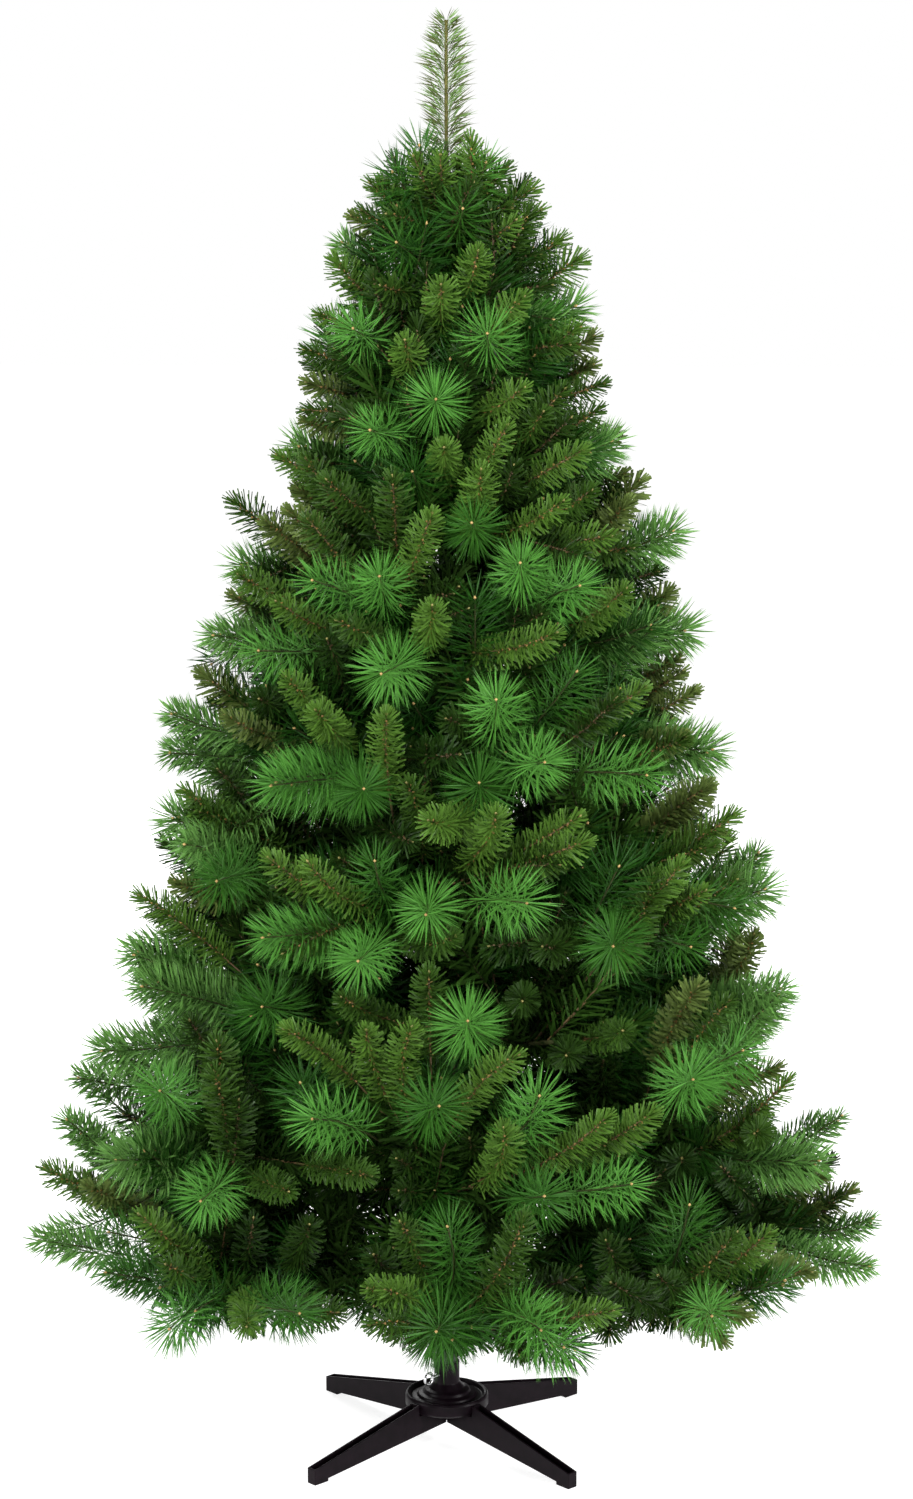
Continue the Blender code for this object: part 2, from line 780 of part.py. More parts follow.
def make_boughs(boughs, occupied):
    for name, path in boughs:
        solid = bough_solid(path)
        occupied.add(name, solid)
        add_object(name, mesh_from(name, solid), GREEN_STEEL)


def main():
    clear_scene()
    make_hub()
    make_legs()
    make_thumb_screw()
    make_trunk()
    occupied = Occupied()
    boughs, masses = plan_masses()
    make_boughs(boughs, occupied)
    grow_stems(masses, occupied)
    grow_sprays(masses, occupied)
    for mass in masses:
        join_mass(mass)


main()
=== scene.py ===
import math
import random
from collections import namedtuple

import bpy
import numpy as np
from mathutils import Euler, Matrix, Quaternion, Vector


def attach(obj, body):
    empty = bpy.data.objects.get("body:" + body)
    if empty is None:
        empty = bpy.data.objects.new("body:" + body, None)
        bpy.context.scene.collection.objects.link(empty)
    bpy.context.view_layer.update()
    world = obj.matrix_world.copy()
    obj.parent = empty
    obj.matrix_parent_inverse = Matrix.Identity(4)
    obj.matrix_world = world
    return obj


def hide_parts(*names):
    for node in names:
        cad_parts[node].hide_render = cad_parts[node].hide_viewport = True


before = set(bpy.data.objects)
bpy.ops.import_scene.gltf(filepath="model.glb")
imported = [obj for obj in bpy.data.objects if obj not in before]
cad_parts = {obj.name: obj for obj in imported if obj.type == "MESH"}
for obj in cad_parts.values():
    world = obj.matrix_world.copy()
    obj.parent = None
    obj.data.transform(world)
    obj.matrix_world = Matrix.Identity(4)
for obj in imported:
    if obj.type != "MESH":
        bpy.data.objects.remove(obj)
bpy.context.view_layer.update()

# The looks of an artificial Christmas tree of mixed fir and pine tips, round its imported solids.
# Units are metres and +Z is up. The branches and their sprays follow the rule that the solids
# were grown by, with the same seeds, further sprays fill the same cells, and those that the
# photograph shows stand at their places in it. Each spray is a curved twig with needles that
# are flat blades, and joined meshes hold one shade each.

# Camera, found from the outline of the tree and its stand
CAMERA_PLACE = (0.1996, -5.0262, 2.0134)
CAMERA_TILT = 79.21
CAMERA_TURN = 2.11
CAMERA_LENS = 84.72
CAMERA_SENSOR = 36.0
CAMERA_RANGE = 60.0

# The plan of the crown, as the solids have it
TREE_HEIGHT = 2.10
CLEARANCE = 0.0003
SEED = 41
SEEDS_PER_TIER = 100
SEED_STEPS = 1e9
CROWN_TOP = 1.96
CROWN_FOOT = 0.33
CROWN_TOP_RADIUS = 0.100
CROWN_FOOT_RADIUS = 0.655
CROWN_SWELL = 0.95
TIER_SPACING = 0.200
CELL_MIDDLE = 0.45
CELL_HALF_HEIGHT = 0.75
COLLAR_APOTHEM = 0.030
COLLAR_APOTHEM_TOP = 0.022
POLE_TOP = 1.740
LEADER_FOOT = 1.925
LEADER_SPRAYS = 6
LEADER_TIPS = 1.880
LEADER_TIPS_RISE = 0.060
LEADER_TIPS_ORDER = 3
LEADER_TURN = 20.0

# Trunk and stand, as the solids have them
POLE_RADII = (0.016, 0.0140, 0.0115)
POLE_JOINTS = (0.700, 1.250)
POLE_FOOT = 0.0585
SLEEVE_HEIGHT = 0.040
SLEEVE_WALL = 0.0015
COLLAR_HEIGHT = 0.026
LEG_REACH = 0.269
LEG_WIDTH = 0.017
LEG_FOOT_TOP = 0.0235
LEG_ROOT_TOP = 0.0690
LEG_SEAT_TOP = 0.0520
LEG_ROOT_UNDERSIDE = 0.028
LEG_FOOT_UNDERSIDE = 0.0045
LEG_WALL = 0.0027
LEG_GAP = 0.0008
LEG_TO_HUB_GAP = 0.0006
LEG_FIRST_TURN = 45.0
LEGS = 4
PAD_LENGTH = 0.026
HUB_RADIUS = 0.0625
HUB_RIM_TOP = 0.0735
HUB_EDGE = 0.0035
HUB_EDGE_HEIGHT = 0.004
SOCKET_RADIUS = 0.0190
SOCKET_TOP = 0.122
HUB_SPIGOT_RADIUS = 0.0080
SCREW_AZIMUTH = 232.0
SCREW_HEIGHT = 0.104
SCREW_SHANK_RADIUS = 0.0030
SCREW_SHANK_LENGTH = 0.0150
SCREW_EYE_RADIUS = 0.0085
SCREW_EYE_WIRE = 0.0022
HUB_RINGS = (
    (0.0000, -0.004),
    (0.0025, 0.000),
    (0.0065, -0.001),
    (0.0095, -0.006),
    (0.0180, -0.005),
    (0.0195, -0.001),
    (0.0270, 0.000),
    (0.0290, 0.005),
    (0.0355, 0.007),
    (0.0435, 0.016),
)

# Their finer shapes: softened edges, grooves, brackets and pins, threads, and twisted strands.
# Under the hub its spigot and the legs' inner ends go a little further than in the solids.
POLE_SIDES = 48
POLE_EDGE = 0.0008
SOFT_STEPS = 3
SOFT_LIMIT = 0.45
SLEEVE_GROOVE = 0.008
GROOVE_HALF = 0.0010
GROOVE_FLOOR = 0.3 * SLEEVE_WALL
COLLAR_EDGE = 0.0012
COLLAR_EDGE_STEP = 0.3 * COLLAR_EDGE
COLLAR_BAND = 0.004
COLLAR_CORNER = 0.003
CORNER_STEPS = 5
EAR_SUNK = 0.001
EAR_RADIUS = 0.008
EAR_REACH = 0.007
EAR_STEPS = 10
EAR_GAP = 0.0008
EAR_WALL = 0.0018
PIN_RADIUS = 0.0018
PIN_BEYOND = 0.0022
PIN_HEAD = 0.0014
PIN_HEAD_WIDER = 1.6
PIN_SIDES = 12
BOUGH_RADII = (0.0100, 0.0075)
BOUGH_SIDES = 12
BOUGH_STEP = 0.004
STEM_RADII = (0.0068, 0.0036)
STEM_STEP = 0.007
LEADER_STEM_RADIUS = 0.0029
TWIST_PITCH = 0.034
STRAND_DEPTH = 0.30
STEM_SIDES = 8
LEADER_STEM_RINGS = 30
TWIG_RINGS = 5
TWIG_SIDES = 3
TWIG_RADII = (0.0022, 0.0012)
HUB_SIDES = 96
HUB_SOFTNESS = 0.0012
HUB_SPIGOT_LIFT = 0.0015
LEG_EDGE = 0.0009
LEG_EDGE_STEPS = 3
LEG_INNER_GAP = LEG_GAP / 4.0
SCREW_SIDES = 20
THREAD_PITCH = 0.0012
THREAD_DEPTH = 0.0005
EYE_STEPS = 48
EYE_SIDES = 12

# The cell of a mass, and how branches and twigs run in it: where a branch ends, where on its
# stem a twig may have its root and what a length or an angle other than its kind's own costs,
# how far a twig droops, how far the leader's needles go past the tree's height, how its firs
# differ, and the share of a stem that has needles
CELL_SPREAD = 0.88
GOLDEN_TURN = 137.5
FIRST_TURN = 23.0
LOWEST_TIP = 0.295
LEAD_BEYOND = 0.75 * 0.215
LEAST_BRANCH = 0.45
BRANCH_TURN = 0.35
LOW_IN_CELL = -0.1
STRAY_PINES = 0.15
SOURCE_REACH = (0.86, 0.98)
STEM_STEPS = 20
HALVINGS = 30
FIRST_ROOT_STEP = 3
REACH_EASE = 0.05
ANGLE_EASE = 25.0
TWIG_BEND = 0.55
FIR_DROOP = 0.06
OTHER_DROOP = (-0.03, 0.05)
LEAD_OVERLAP = 0.03
LEADER_BEYOND = 0.005
LEADER_INNER_REACH = 0.7
TOP_DROOP = 0.05
STEM_NEEDLES = 0.96

# Where a mass has the further sprays: steps of an even spread, how much of the cell it fills
# across and up, and how far out the outer, inner and core ones reach. The inner and core ones
# hang lower, by a drop, but not below a height over the lowest tip.
ACROSS_STEP = 0.7549
ACROSS_SHIFT = 0.37
UP_STEP = 0.5698
UP_SHIFT = 0.21
FILLED_ACROSS = 0.95
FILLED_UP = 0.9
OUTER_PINES = 0.42
OUTER_PINE_REACH = (0.90, 0.99)
OUTER_FIR_REACH = (0.80, 0.96)
INNER_REACH = (0.54, 0.78)
INNER_DROP = 0.03
INNER_LOWEST = 0.04
CORE_REACH = (0.26, 0.52)
CORE_DROP = 0.06
CORE_LOWEST = 0.07

# Tiers of branches, as the solids have them, and after those how many more outer sprays, inner
# sprays and sprays near the trunk a mass has here
Tier = namedtuple("Tier", "masses turn tip_height rise sprays bough_reach more inner core")
TIERS = (
    Tier(8, 0.0, 0.335, 0.000, 6, 0.20, 8, 13, 8),
    Tier(6, 30.0, 0.535, 0.070, 7, 0.17, 10, 12, 9),
    Tier(5, 8.0, 0.735, 0.090, 6, 0.0, 11, 12, 8),
    Tier(5, 44.0, 0.930, 0.100, 5, 0.0, 10, 10, 6),
    Tier(4, 20.0, 1.120, 0.105, 5, 0.0, 11, 10, 6),
    Tier(4, 62.0, 1.305, 0.110, 5, 0.0, 9, 8, 5),
    Tier(3, 35.0, 1.485, 0.110, 5, 0.0, 10, 8, 5),
    Tier(3, 95.0, 1.655, 0.110, 4, 0.0, 8, 6, 3),
)

# How a kind of spray grows: the covered length of its twig, how far it reaches from its branch,
# and the lift and spread that it likes, as in the solids
Kind = namedtuple("Kind", "covered reach lift spread")
FIR = Kind(0.190, 0.26, 48.0, 45.0)
TOP_FIR = Kind(0.140, 0.19, 62.0, 28.0)
PINE = Kind(0.190, 0.27, 4.0, 30.0)
INNER = Kind(0.170, 0.22, 20.0, 50.0)
LEADER = Kind(0.250, 0.20, 90.0, 0.0)

# How the needles of a kind look: how many to a metre of twig, their length and width, their
# slant from the twig at its foot, at four fifths and at its end, their length there as shares,
# the spacing of the rings that they stand in and the pitch of a double helix, or 0 for neither,
# how far their angles stray, how many stand in a bunch, in how many directions round the twig
# the bunches stand, or 0 for any, and whether they end in a point
Needles = namedtuple(
    "Needles", "per_metre length width slants shares ring pitch stray bunch ways pointed")
NEEDLES = {
    FIR: Needles(1500, 0.0320, 0.0031, (66, 60, 14), (0.85, 1, 0.62), 0.0064, 0, 2.0, 1, 0, False),
    TOP_FIR: Needles(
        1500, 0.0300, 0.0030, (64, 58, 14), (0.85, 1, 0.62), 0.0062, 0, 2.0, 1, 0, False),
    PINE: Needles(2250, 0.0640, 0.0016, (72, 56, 34), (0.80, 1, 0.78), 0, 0, 1.3, 3, 66, True),
    INNER: Needles(480, 0.0480, 0.0049, (64, 54, 20), (0.90, 1, 0.80), 0, 0, 9.0, 1, 0, False),
    LEADER: Needles(
        1350, 0.0470, 0.0018, (66, 61, 58), (0.90, 1, 0.52), 0, 0.058, 12.0, 1, 0, True),
}

# What all kinds share: how far needles stray from their ring, how bunches and single needles
# stray in slant, length, width and twist, the outline of a needle, and how sprays differ in size
RING_DEPTH = 0.13
BUNCH_STRAY = 6.0
WIDEST_AT = 0.55
BLUNT_FOOT = 0.8
BLUNT_TIP = 0.7
SIZE_RANGE = (0.86, 1.08)
SIZE_SPREAD = 7.0
LENGTH_RANGE = (0.90, 1.06)
WIDTH_RANGE = (0.80, 1.15)
TWIST_STRAY = 0.3
SLANT_LIMITS = (0.03, 1.5)
LONGEST_FROM = 0.25
SHORTER_FROM = 0.8
MOST_BEYOND = 0.5
GOLDEN_ANGLE = math.pi * (3.0 - math.sqrt(5.0))
NEARLY_UPRIGHT = 0.95
SHORTEST_LENGTH = 1e-9

# A pine on a short twig has this share of its needles at least, and the darkest sprays, which
# others hide, have only this share of theirs
FULL_SHARE = 0.85
HIDDEN_SHARE = 0.75

# The groups that needles are joined in, by kind
GROUPS = {FIR: "fir", TOP_FIR: "fir", PINE: "pine", INNER: "inner", LEADER: "leader"}

# Shades of needles, dealt out by spray, from the dark ones inside to the bright ones, and last
# the one at the outline, whose needles are wider. The darker ones are painted shade: darker
# copies of the same green for sprays deeper in the crown or hidden by others, besides some
# tones that differ at random. The last one is painted light, as seen through thin needles
# against the bright surround: olive-brown for firs and a paler green for pines.
FIR_SHADES = (
    (0.012, 0.034, 0.0040),
    (0.015, 0.039, 0.0044),
    (0.026, 0.064, 0.0072),
    (0.053, 0.118, 0.0142),
    (0.086, 0.128, 0.0290),
)
PINE_SHADES = (
    (0.009, 0.045, 0.0038),
    (0.013, 0.059, 0.0049),
    (0.024, 0.091, 0.0092),
    (0.055, 0.180, 0.0245),
    (0.094, 0.218, 0.0460),
)
# The outline's shade is painted light, as seen through thin needles against the bright surround.
PAINTED_BACKLIGHT_SHADE = 4
OUTLINE_WIDER = 1.4
LEADER_SHADES = ((0.055, 0.070, 0.018), (0.100, 0.175, 0.048))
# The inner needles' greens are darkened because they stand inside the crown: painted shade.
INNER_SHADES = ((0.009, 0.022, 0.0035), (0.017, 0.045, 0.0060))
SHADES = {"fir": FIR_SHADES, "pine": PINE_SHADES, "inner": INNER_SHADES, "leader": LEADER_SHADES}
GLOSS = {"fir": 0.16, "pine": 0.15, "inner": 0.02, "leader": 0.15}
NEEDLE_ROUGHNESS = 0.45

# Buds at the ends of sprays, and the brown beads along a fir's twig
BUD_LENGTH = 0.0065
BUD_RADIUS = 0.0026
BUD_SUNK = 0.1
BUD_WIDEST = 0.4
BEAD_SPACING = 0.0050
BEAD_RADIUS = 0.0023
BEAD_OFFSET = 0.0030
BEADS_END = 0.97
BEAD_SUNK = 0.4

# Finishes other than the needles': two colours that they are mottled with, the roughness from
# smoother to rougher spots, how metallic they are, and their gloss
Finish = namedtuple("Finish", "colours roughness metallic gloss", defaults=(0.0, 0.5))
FINISHES = {
    "stubs": Finish(((0.16, 0.092, 0.020), (0.27, 0.160, 0.038)), (0.5, 0.7)),
    # The beads of sprays with the two darkest shades get a darker brown: painted shade.
    "painted_shade_stubs": Finish(((0.055, 0.033, 0.010), (0.095, 0.058, 0.018)), (0.5, 0.7)),
    "fir_buds": Finish(((0.13, 0.12, 0.030), (0.22, 0.19, 0.05)), (0.5, 0.7)),
    "pine_buds": Finish(((0.26, 0.165, 0.050), (0.40, 0.265, 0.095)), (0.5, 0.7)),
    "twigs": Finish(((0.016, 0.020, 0.007), (0.036, 0.040, 0.012)), (0.7, 0.9), 0.0, 0.1),
    "fir_twigs": Finish(((0.060, 0.036, 0.012), (0.120, 0.070, 0.022)), (0.6, 0.8)),
    "leader_stem": Finish(((0.100, 0.095, 0.028), (0.160, 0.150, 0.045)), (0.7, 0.9), 0.0, 0.1),
    "plastic": Finish(
        ((0.0034, 0.0018, 0.0029), (0.0064, 0.0034, 0.0054)), (0.32, 0.44), 0.0, 0.07),
    "paint": Finish(((0.006, 0.012, 0.006), (0.012, 0.022, 0.011)), (0.4, 0.6), 0.0, 0.3),
    "steel": Finish(((0.55, 0.55, 0.56), (0.70, 0.70, 0.71)), (0.18, 0.34), 1.0),
}
MOTTLE_SCALE = 60.0
MOTTLE_DETAIL = 4.0
MOTTLE_BOUNDS = (0.35, 0.68)
GRAIN_SCALE = 400.0
GRAIN_STRENGTH = 0.05
GRAIN_DEPTH = 0.001

# Lights: where each stands, its width and height, its power, and how high up the tree it aims
Light = namedtuple("Light", "place size power aim_height", defaults=(1.0,))
LIGHTS = {
    "front": Light((-1.2, -4.0, 3.4), (0.8, 0.7), 218.0),
    "right": Light((3.8, -2.0, 1.8), (1.4, 2.0), 222.0),
    "left": Light((-4.0, -1.6, 1.6), (1.4, 2.0), 90.0),
    "low": Light((0.5, -4.4, 0.55), (3.0, 0.5), 60.0),
    "crown": Light((0.3, -2.2, 3.5), (0.5, 0.5), 50.0, 1.85),
    "back": Light((-1.5, 4.0, 2.8), (2.4, 2.0), 170.0),
}
SURROUND_SEEN = 1.0
SURROUND_FELT = 0.10
WHITE = (1.0, 1.0, 1.0, 1.0)

# The floor: its half side, its colour, and how it glows, up to the first distance from the tree
# less than from the second on, so that its edge isn't seen against the surround
FLOOR_HALF = 20.0
FLOOR_GREY = (0.55, 0.55, 0.55, 1.0)
FLOOR_ROUGHNESS = 0.9
GLOW_DISTANCES = (0.3, 1.5)
GLOW_STRENGTHS = (0.80, 1.00)

# Sprays that the photograph shows, listed one by one: the pixel of a spray's end, the way it
# points there in degrees from rightwards, how much of its length is seen from the side, 1 for
# all of it and 0 where it points at the camera, and, where they aren't the usual 0 and 1, how
# deep in the crown it is, up to 3, and how long its needles are against the usual ones
PHOTO_SIZE = (913, 1499)
Seen = namedtuple("Seen", "x y heading side deep size", defaults=(0, 1.0))
SEEN_FIRS = (
    (470, 131, 97, 0.8), (515, 162, 38, 0.85, 0, 1.15), (541, 184, 30, 0.85, 0, 1.15),
    (549, 204, 35, 0.85, 0, 1.1), (524, 213, 40, 0.75), (566, 236, 30, 0.85, 0, 1.15),
    (583, 256, 32, 0.9, 0, 1.15), (479, 248, 75, 0.55), (441, 282, 88, 0.4), (528, 293, 40, 0.75),
    (362, 176, 140, 0.85), (353, 204, 145, 0.8), (331, 257, 135, 0.85), (376, 283, 150, 0.5),
    (410, 148, 115, 0.8), (440, 147, 92, 0.7), (312, 312, 160, 0.8), (404, 336, 100, 0.4),
    (298, 348, 165, 0.85), (296, 409, 175, 0.85), (272, 452, 150, 0.9), (323, 476, 130, 0.75),
    (392, 472, 95, 0.7), (292, 484, 140, 0.85, 2), (230, 498, 143, 0.95, 0, 1.1),
    (305, 515, 130, 0.7), (434, 508, 70, 0.7), (444, 446, 90, 0.2), (586, 324, 30, 0.9),
    (598, 333, 35, 0.8, 1), (609, 381, 25, 0.85), (528, 384, 45, 0.7), (604, 406, 30, 0.85),
    (545, 409, 55, 0.5, 1), (511, 419, 60, 0.7), (588, 447, 30, 0.8), (481, 464, 90, 0.7),
    (515, 460, 80, 0.7, 2), (632, 471, 25, 0.85, 2), (641, 478, 50, 0.9, 1, 1.1),
    (630, 500, 50, 0.8, 1), (595, 487, 45, 0.7, 1), (567, 497, 45, 0.75), (616, 535, 13, 0.85),
    (637, 547, 12, 0.8), (226, 592, 150, 0.85, 1), (235, 572, 145, 0.7), (272, 598, 140, 0.7),
    (331, 618, 155, 0.75), (326, 637, 120, 0.4, 2), (432, 602, 95, 0.5), (198, 670, 140, 0.9, 2),
    (284, 675, 135, 0.75), (314, 708, 130, 0.6), (256, 698, 170, 0.3, 2), (181, 788, 145, 0.85),
    (215, 767, 140, 0.6, 1), (387, 712, 80, 0.6), (442, 718, 175, 0.5, 2), (459, 593, 5, 0.6, 2),
    (405, 780, 125, 0.6, 1), (662, 570, 20, 0.7, 2), (674, 588, 35, 0.85, 2), (630, 584, 50, 0.6),
    (560, 631, 30, 0.8), (544, 612, 30, 0.5, 2), (650, 684, 35, 0.9), (690, 666, 35, 0.8, 2),
    (702, 686, 35, 0.9, 1), (462, 754, 10, 0.7, 2), (712, 784, 40, 0.8, 1),
    (740, 810, 38, 0.93, 0, 1.12), (722, 826, 36, 0.8, 1), (263, 853, 135, 0.85),
    (304, 856, 120, 0.8), (336, 856, 150, 0.5, 2), (171, 878, 145, 0.85, 1),
    (136, 893, 150, 0.95, 0, 1.1), (188, 1018, 130, 0.6, 1), (216, 1039, 105, 0.85),
    (214, 1070, 110, 0.85), (340, 996, 140, 0.6, 1), (282, 1028, 160, 0.8), (366, 1028, 90, 0.5),
    (426, 819, 150, 0.5), (496, 811, 90, 0.5), (583, 814, 35, 0.8), (591, 840, 20, 0.85),
    (414, 842, 350, 0.5, 2), (460, 934, 30, 0.7, 1), (486, 946, 175, 0.7, 2),
    (429, 970, 88, 0.7, 1), (541, 946, 160, 0.4, 1), (413, 1024, 60, 0.7), (522, 1002, 250, 0.2, 2),
    (576, 998, 110, 0.3, 3), (685, 860, 50, 0.9), (710, 887, 35, 0.85), (755, 930, 78, 0.83, 1),
    (732, 998, 40, 0.8), (700, 984, 50, 0.8, 1), (623, 1030, 90, 0.1, 1),
    (42, 1166, 150, 0.95, 0, 1.1), (84, 1184, 152, 0.8, 1), (134, 1210, 140, 0.85),
    (162, 1262, 150, 0.5), (120, 1113, 165, 0.7, 2), (290, 1192, 340, 0.4, 1),
    (254, 1212, 85, 0.7, 2), (522, 1053, 25, 0.9), (503, 1124, 105, 0.7), (468, 1135, 120, 0.5, 2),
    (394, 1190, 175, 0.6, 2), (372, 1176, 350, 0.7, 1), (392, 1156, 150, 0.6, 2),
    (398, 1218, 125, 0.6), (526, 1212, 75, 0.9), (310, 1222, 80, 0.5, 2), (372, 1252, 120, 0.4, 2),
    (364, 1288, 175, 0.5), (380, 1289, 170, 0.6), (362, 1326, 190, 0.8), (340, 1312, 10, 0.5, 1),
    (246, 1328, 250, 0.3), (565, 1056, 200, 0.2, 2), (612, 1112, 50, 0.9), (656, 1110, 42, 0.9),
    (795, 1072, 50, 0.9), (682, 1156, 90, 0.2, 2), (753, 1134, 200, 0.3, 1),
    (720, 1166, 135, 0.6, 2), (742, 1226, 50, 0.85), (774, 1228, 45, 0.8), (608, 1280, 140, 0.5, 1),
    (654, 1272, 140, 0.5, 1), (604, 1236, 110, 0.6, 2), (580, 1276, 20, 0.7, 2),
    (618, 1310, 10, 0.85), (860, 1186, 30, 0.9, 1), (830, 1175, 20, 0.8, 2),
    (820, 1204, 30, 0.8, 2), (650, 1326, 250, 0.5, 3), (625, 1330, 240, 0.5, 3),
    (262, 519, 146, 0.8, 1), (218, 712, 150, 0.82, 1), (300, 380, 160, 0.82, 1),
    (345, 212, 150, 0.8, 1), (298, 420, 165, 0.82, 1), (711, 783, 35, 0.82, 1),
    (598, 362, 30, 0.82, 1), (686, 655, 25, 0.82, 1), (782, 1066, 20, 0.82, 1),
    (753, 1318, 340, 0.82, 1), (815, 1272, 0, 0.84, 1), (787, 1262, 0, 0.8, 2),
    (730, 1345, 320, 0.8, 1), (625, 432, 15, 0.82, 1), (610, 1338, 280, 0.6, 1),
    (519, 1358, 270, 0.5, 1), (462, 584, 40, 0.5, 2), (474, 606, 20, 0.6, 2),
    (285, 508, 140, 0.8, 1), (736, 932, 75, 0.8, 2), (690, 735, 20, 0.82, 1),
    (66, 1176, 152, 0.86, 1), (384, 1336, 190, 0.7, 1),
)
SEEN_PINES = (
    (388, 235, 135, 0.45), (464, 200, 85, 0.35), (380, 156, 130, 0.8), (332, 233, 140, 0.9, 1, 0.7),
    (492, 147, 70, 0.7), (417, 128, 97, 0.8), (590, 299, 25, 0.9, 0, 0.95),
    (146, 1292, 200, 0.8, 1, 0.9), (104, 1278, 185, 0.8, 1, 0.7), (350, 326, 140, 0.35),
    (487, 330, 100, 0.15), (436, 398, 90, 0.1), (366, 428, 135, 0.35), (285, 438, 150, 0.9, 1),
    (411, 467, 95, 0.3, 1), (626, 436, 18, 0.95), (470, 520, 130, 0.35), (520, 561, 90, 0.1),
    (683, 526, 24, 0.93, 0, 0.88), (301, 578, 175, 0.75), (379, 574, 90, 0.1), (377, 675, 190, 0.4),
    (250, 650, 175, 0.6), (201, 633, 165, 0.85, 0, 0.79), (224, 560, 165, 0.9, 1, 0.9),
    (160, 709, 155, 0.9, 0, 0.67), (158, 752, 175, 0.9, 0, 0.64), (262, 787, 190, 0.85),
    (364, 789, 90, 0.15), (587, 584, 5, 0.6), (696, 630, 5, 0.9), (475, 587, 88, 0.8, 2),
    (583, 662, 60, 0.7, 1), (496, 697, 110, 0.15), (726, 749, 2, 0.93),
    (716, 762, 350, 0.8, 1, 0.9), (548, 762, 0, 0.2), (654, 776, 350, 0.6), (479, 780, 90, 0.3, 1),
    (160, 813, 160, 0.86, 0, 0.95), (174, 843, 175, 0.85, 0, 0.76), (214, 882, 200, 0.4),
    (122, 952, 168, 0.88, 0, 0.85), (150, 986, 200, 0.8, 1, 0.8), (128, 984, 172, 0.86, 0, 0.9),
    (246, 938, 178, 0.9), (357, 962, 90, 0.05), (374, 847, 88, 0.7, 1), (259, 1007, 200, 0.25, 1),
    (424, 917, 225, 0.3), (530, 904, 330, 0.3), (613, 947, 90, 0.1), (468, 1020, 30, 0.3),
    (768, 843, 42, 0.86, 0, 0.72), (776, 886, 8, 0.93), (750, 912, 345, 0.84),
    (698, 948, 0, 0.5, 1), (623, 858, 65, 0.8, 1), (790, 984, 30, 0.9, 0, 0.85),
    (773, 1009, 20, 0.9, 1), (750, 1048, 10, 0.7), (88, 1052, 180, 0.95, 0, 0.86),
    (70, 1075, 160, 0.9, 1, 0.68), (158, 1090, 200, 0.2), (60, 1114, 142, 0.88, 0, 0.64),
    (100, 1160, 178, 0.9), (205, 668, 215, 0.6, 1, 0.8), (198, 1203, 210, 0.5),
    (27, 1239, 175, 0.97, 0, 0.70), (96, 1230, 172, 0.82, 1, 0.78), (86, 1270, 172, 0.9, 0, 0.7),
    (308, 1119, 200, 0.5), (298, 1078, 100, 0.6, 1), (441, 1106, 330, 0.4), (541, 1090, 90, 0.6),
    (444, 1218, 120, 0.65), (546, 1196, 90, 0.1), (694, 1079, 320, 0.25), (636, 1183, 20, 0.55),
    (692, 1192, 80, 0.7, 1), (804, 1275, 18, 0.9, 0, 0.95), (164, 1334, 225, 0.45, 0, 1.1),
    (188, 1316, 215, 0.6, 1), (302, 1314, 340, 0.35), (434, 1334, 225, 0.3, 0, 1.42),
    (452, 1346, 262, 0.45, 1, 1.0), (474, 1332, 290, 0.4, 1, 1.25), (570, 1350, 330, 0.5, 0, 1.05),
    (580, 1353, 318, 0.5, 1), (556, 1350, 300, 0.5, 1), (545, 1334, 300, 0.5, 0, 1.1),
    (854, 1109, 25, 0.93, 0, 0.5), (836, 1160, 3, 0.93, 0, 0.85), (888, 1211, 28, 0.95, 0, 0.54),
    (884, 1268, 356, 0.95, 0, 0.57), (713, 1319, 270, 0.2),
)
SEEN_INNERS = (
    (330, 1212, 90, 0.5, 3), (352, 1245, 60, 0.5, 3), (340, 1278, 200, 0.5, 3),
    (300, 1240, 130, 0.5, 3), (385, 1262, 30, 0.5, 3), (362, 1208, 45, 0.5, 3),
    (318, 1290, 170, 0.5, 3), (368, 1292, 340, 0.5, 3), (420, 1262, 80, 0.5, 3),
    (270, 1262, 150, 0.5, 3), (480, 1272, 20, 0.5, 3), (510, 1290, 200, 0.5, 3),
    (560, 1300, 60, 0.5, 3), (600, 1300, 20, 0.5, 3), (445, 1290, 150, 0.5, 3),
    (230, 1240, 100, 0.5, 3), (240, 1285, 160, 0.5, 3), (640, 1250, 60, 0.5, 3),
    (650, 1300, 340, 0.5, 3), (530, 1250, 90, 0.5, 3), (462, 560, 60, 0.5, 3),
    (448, 590, 100, 0.5, 3), (470, 596, 20, 0.5, 3), (455, 575, 60, 0.4, 2),
)

# How far out a seen spray ends by its depth, as a share of the crown's radius, and the shades
# that it may have, darker the deeper it is, which is painted shade. Of those seen from the side,
# a fir further in and a pine at the crown's edge have the outline's shade, which is painted
# light. Then how far past its pixel a spray's path ends.
SEEN_DEPTHS = (1.0, 0.92, 0.82, 0.68)
SEEN_SHADES = ((2, 3, 3), (1, 2), (0, 1, 1))
OUTLINE_SIDE = 0.75
PAST_BUD = 0.027
PAST_BUD_SEEN = 0.5
PAST_FIR = 0.008

# How a seen place is found along the camera's line through a pixel: from this far, by this step
SIGHT_START = 4.10
SIGHT_STEP = 0.0035
SIGHT_STEPS = 420

# How a twig reaches a seen spray: how far behind the spray it likes its root, what a root
# further out than that costs, where the twig's curve has its control point, and the shortest
# bare part that has inner needles
ROOT_BEHIND = 0.05
ROOT_OUT_COST = 0.5
LEAD_SHARE = 0.72
SHORTEST_BARE = 0.04

# A pine spray seen from the side has twins behind it, so far back along it and turned by so many
# degrees. Any spray seen from the side, unless it is thin, has a darker one beside it too, so
# many pixels off, turned, and further in. Its darker shade is painted shade.
TWINS = ((0.008, 8.0), (0.030, -9.0))
TWIN_BEHIND = 0.016
BESIDE_SIDE = 0.84
THIN_SIZE = 0.80
BESIDE_SHIFT = (16.0, 44.0)
BESIDE_TURN = (16.0, 34.0)

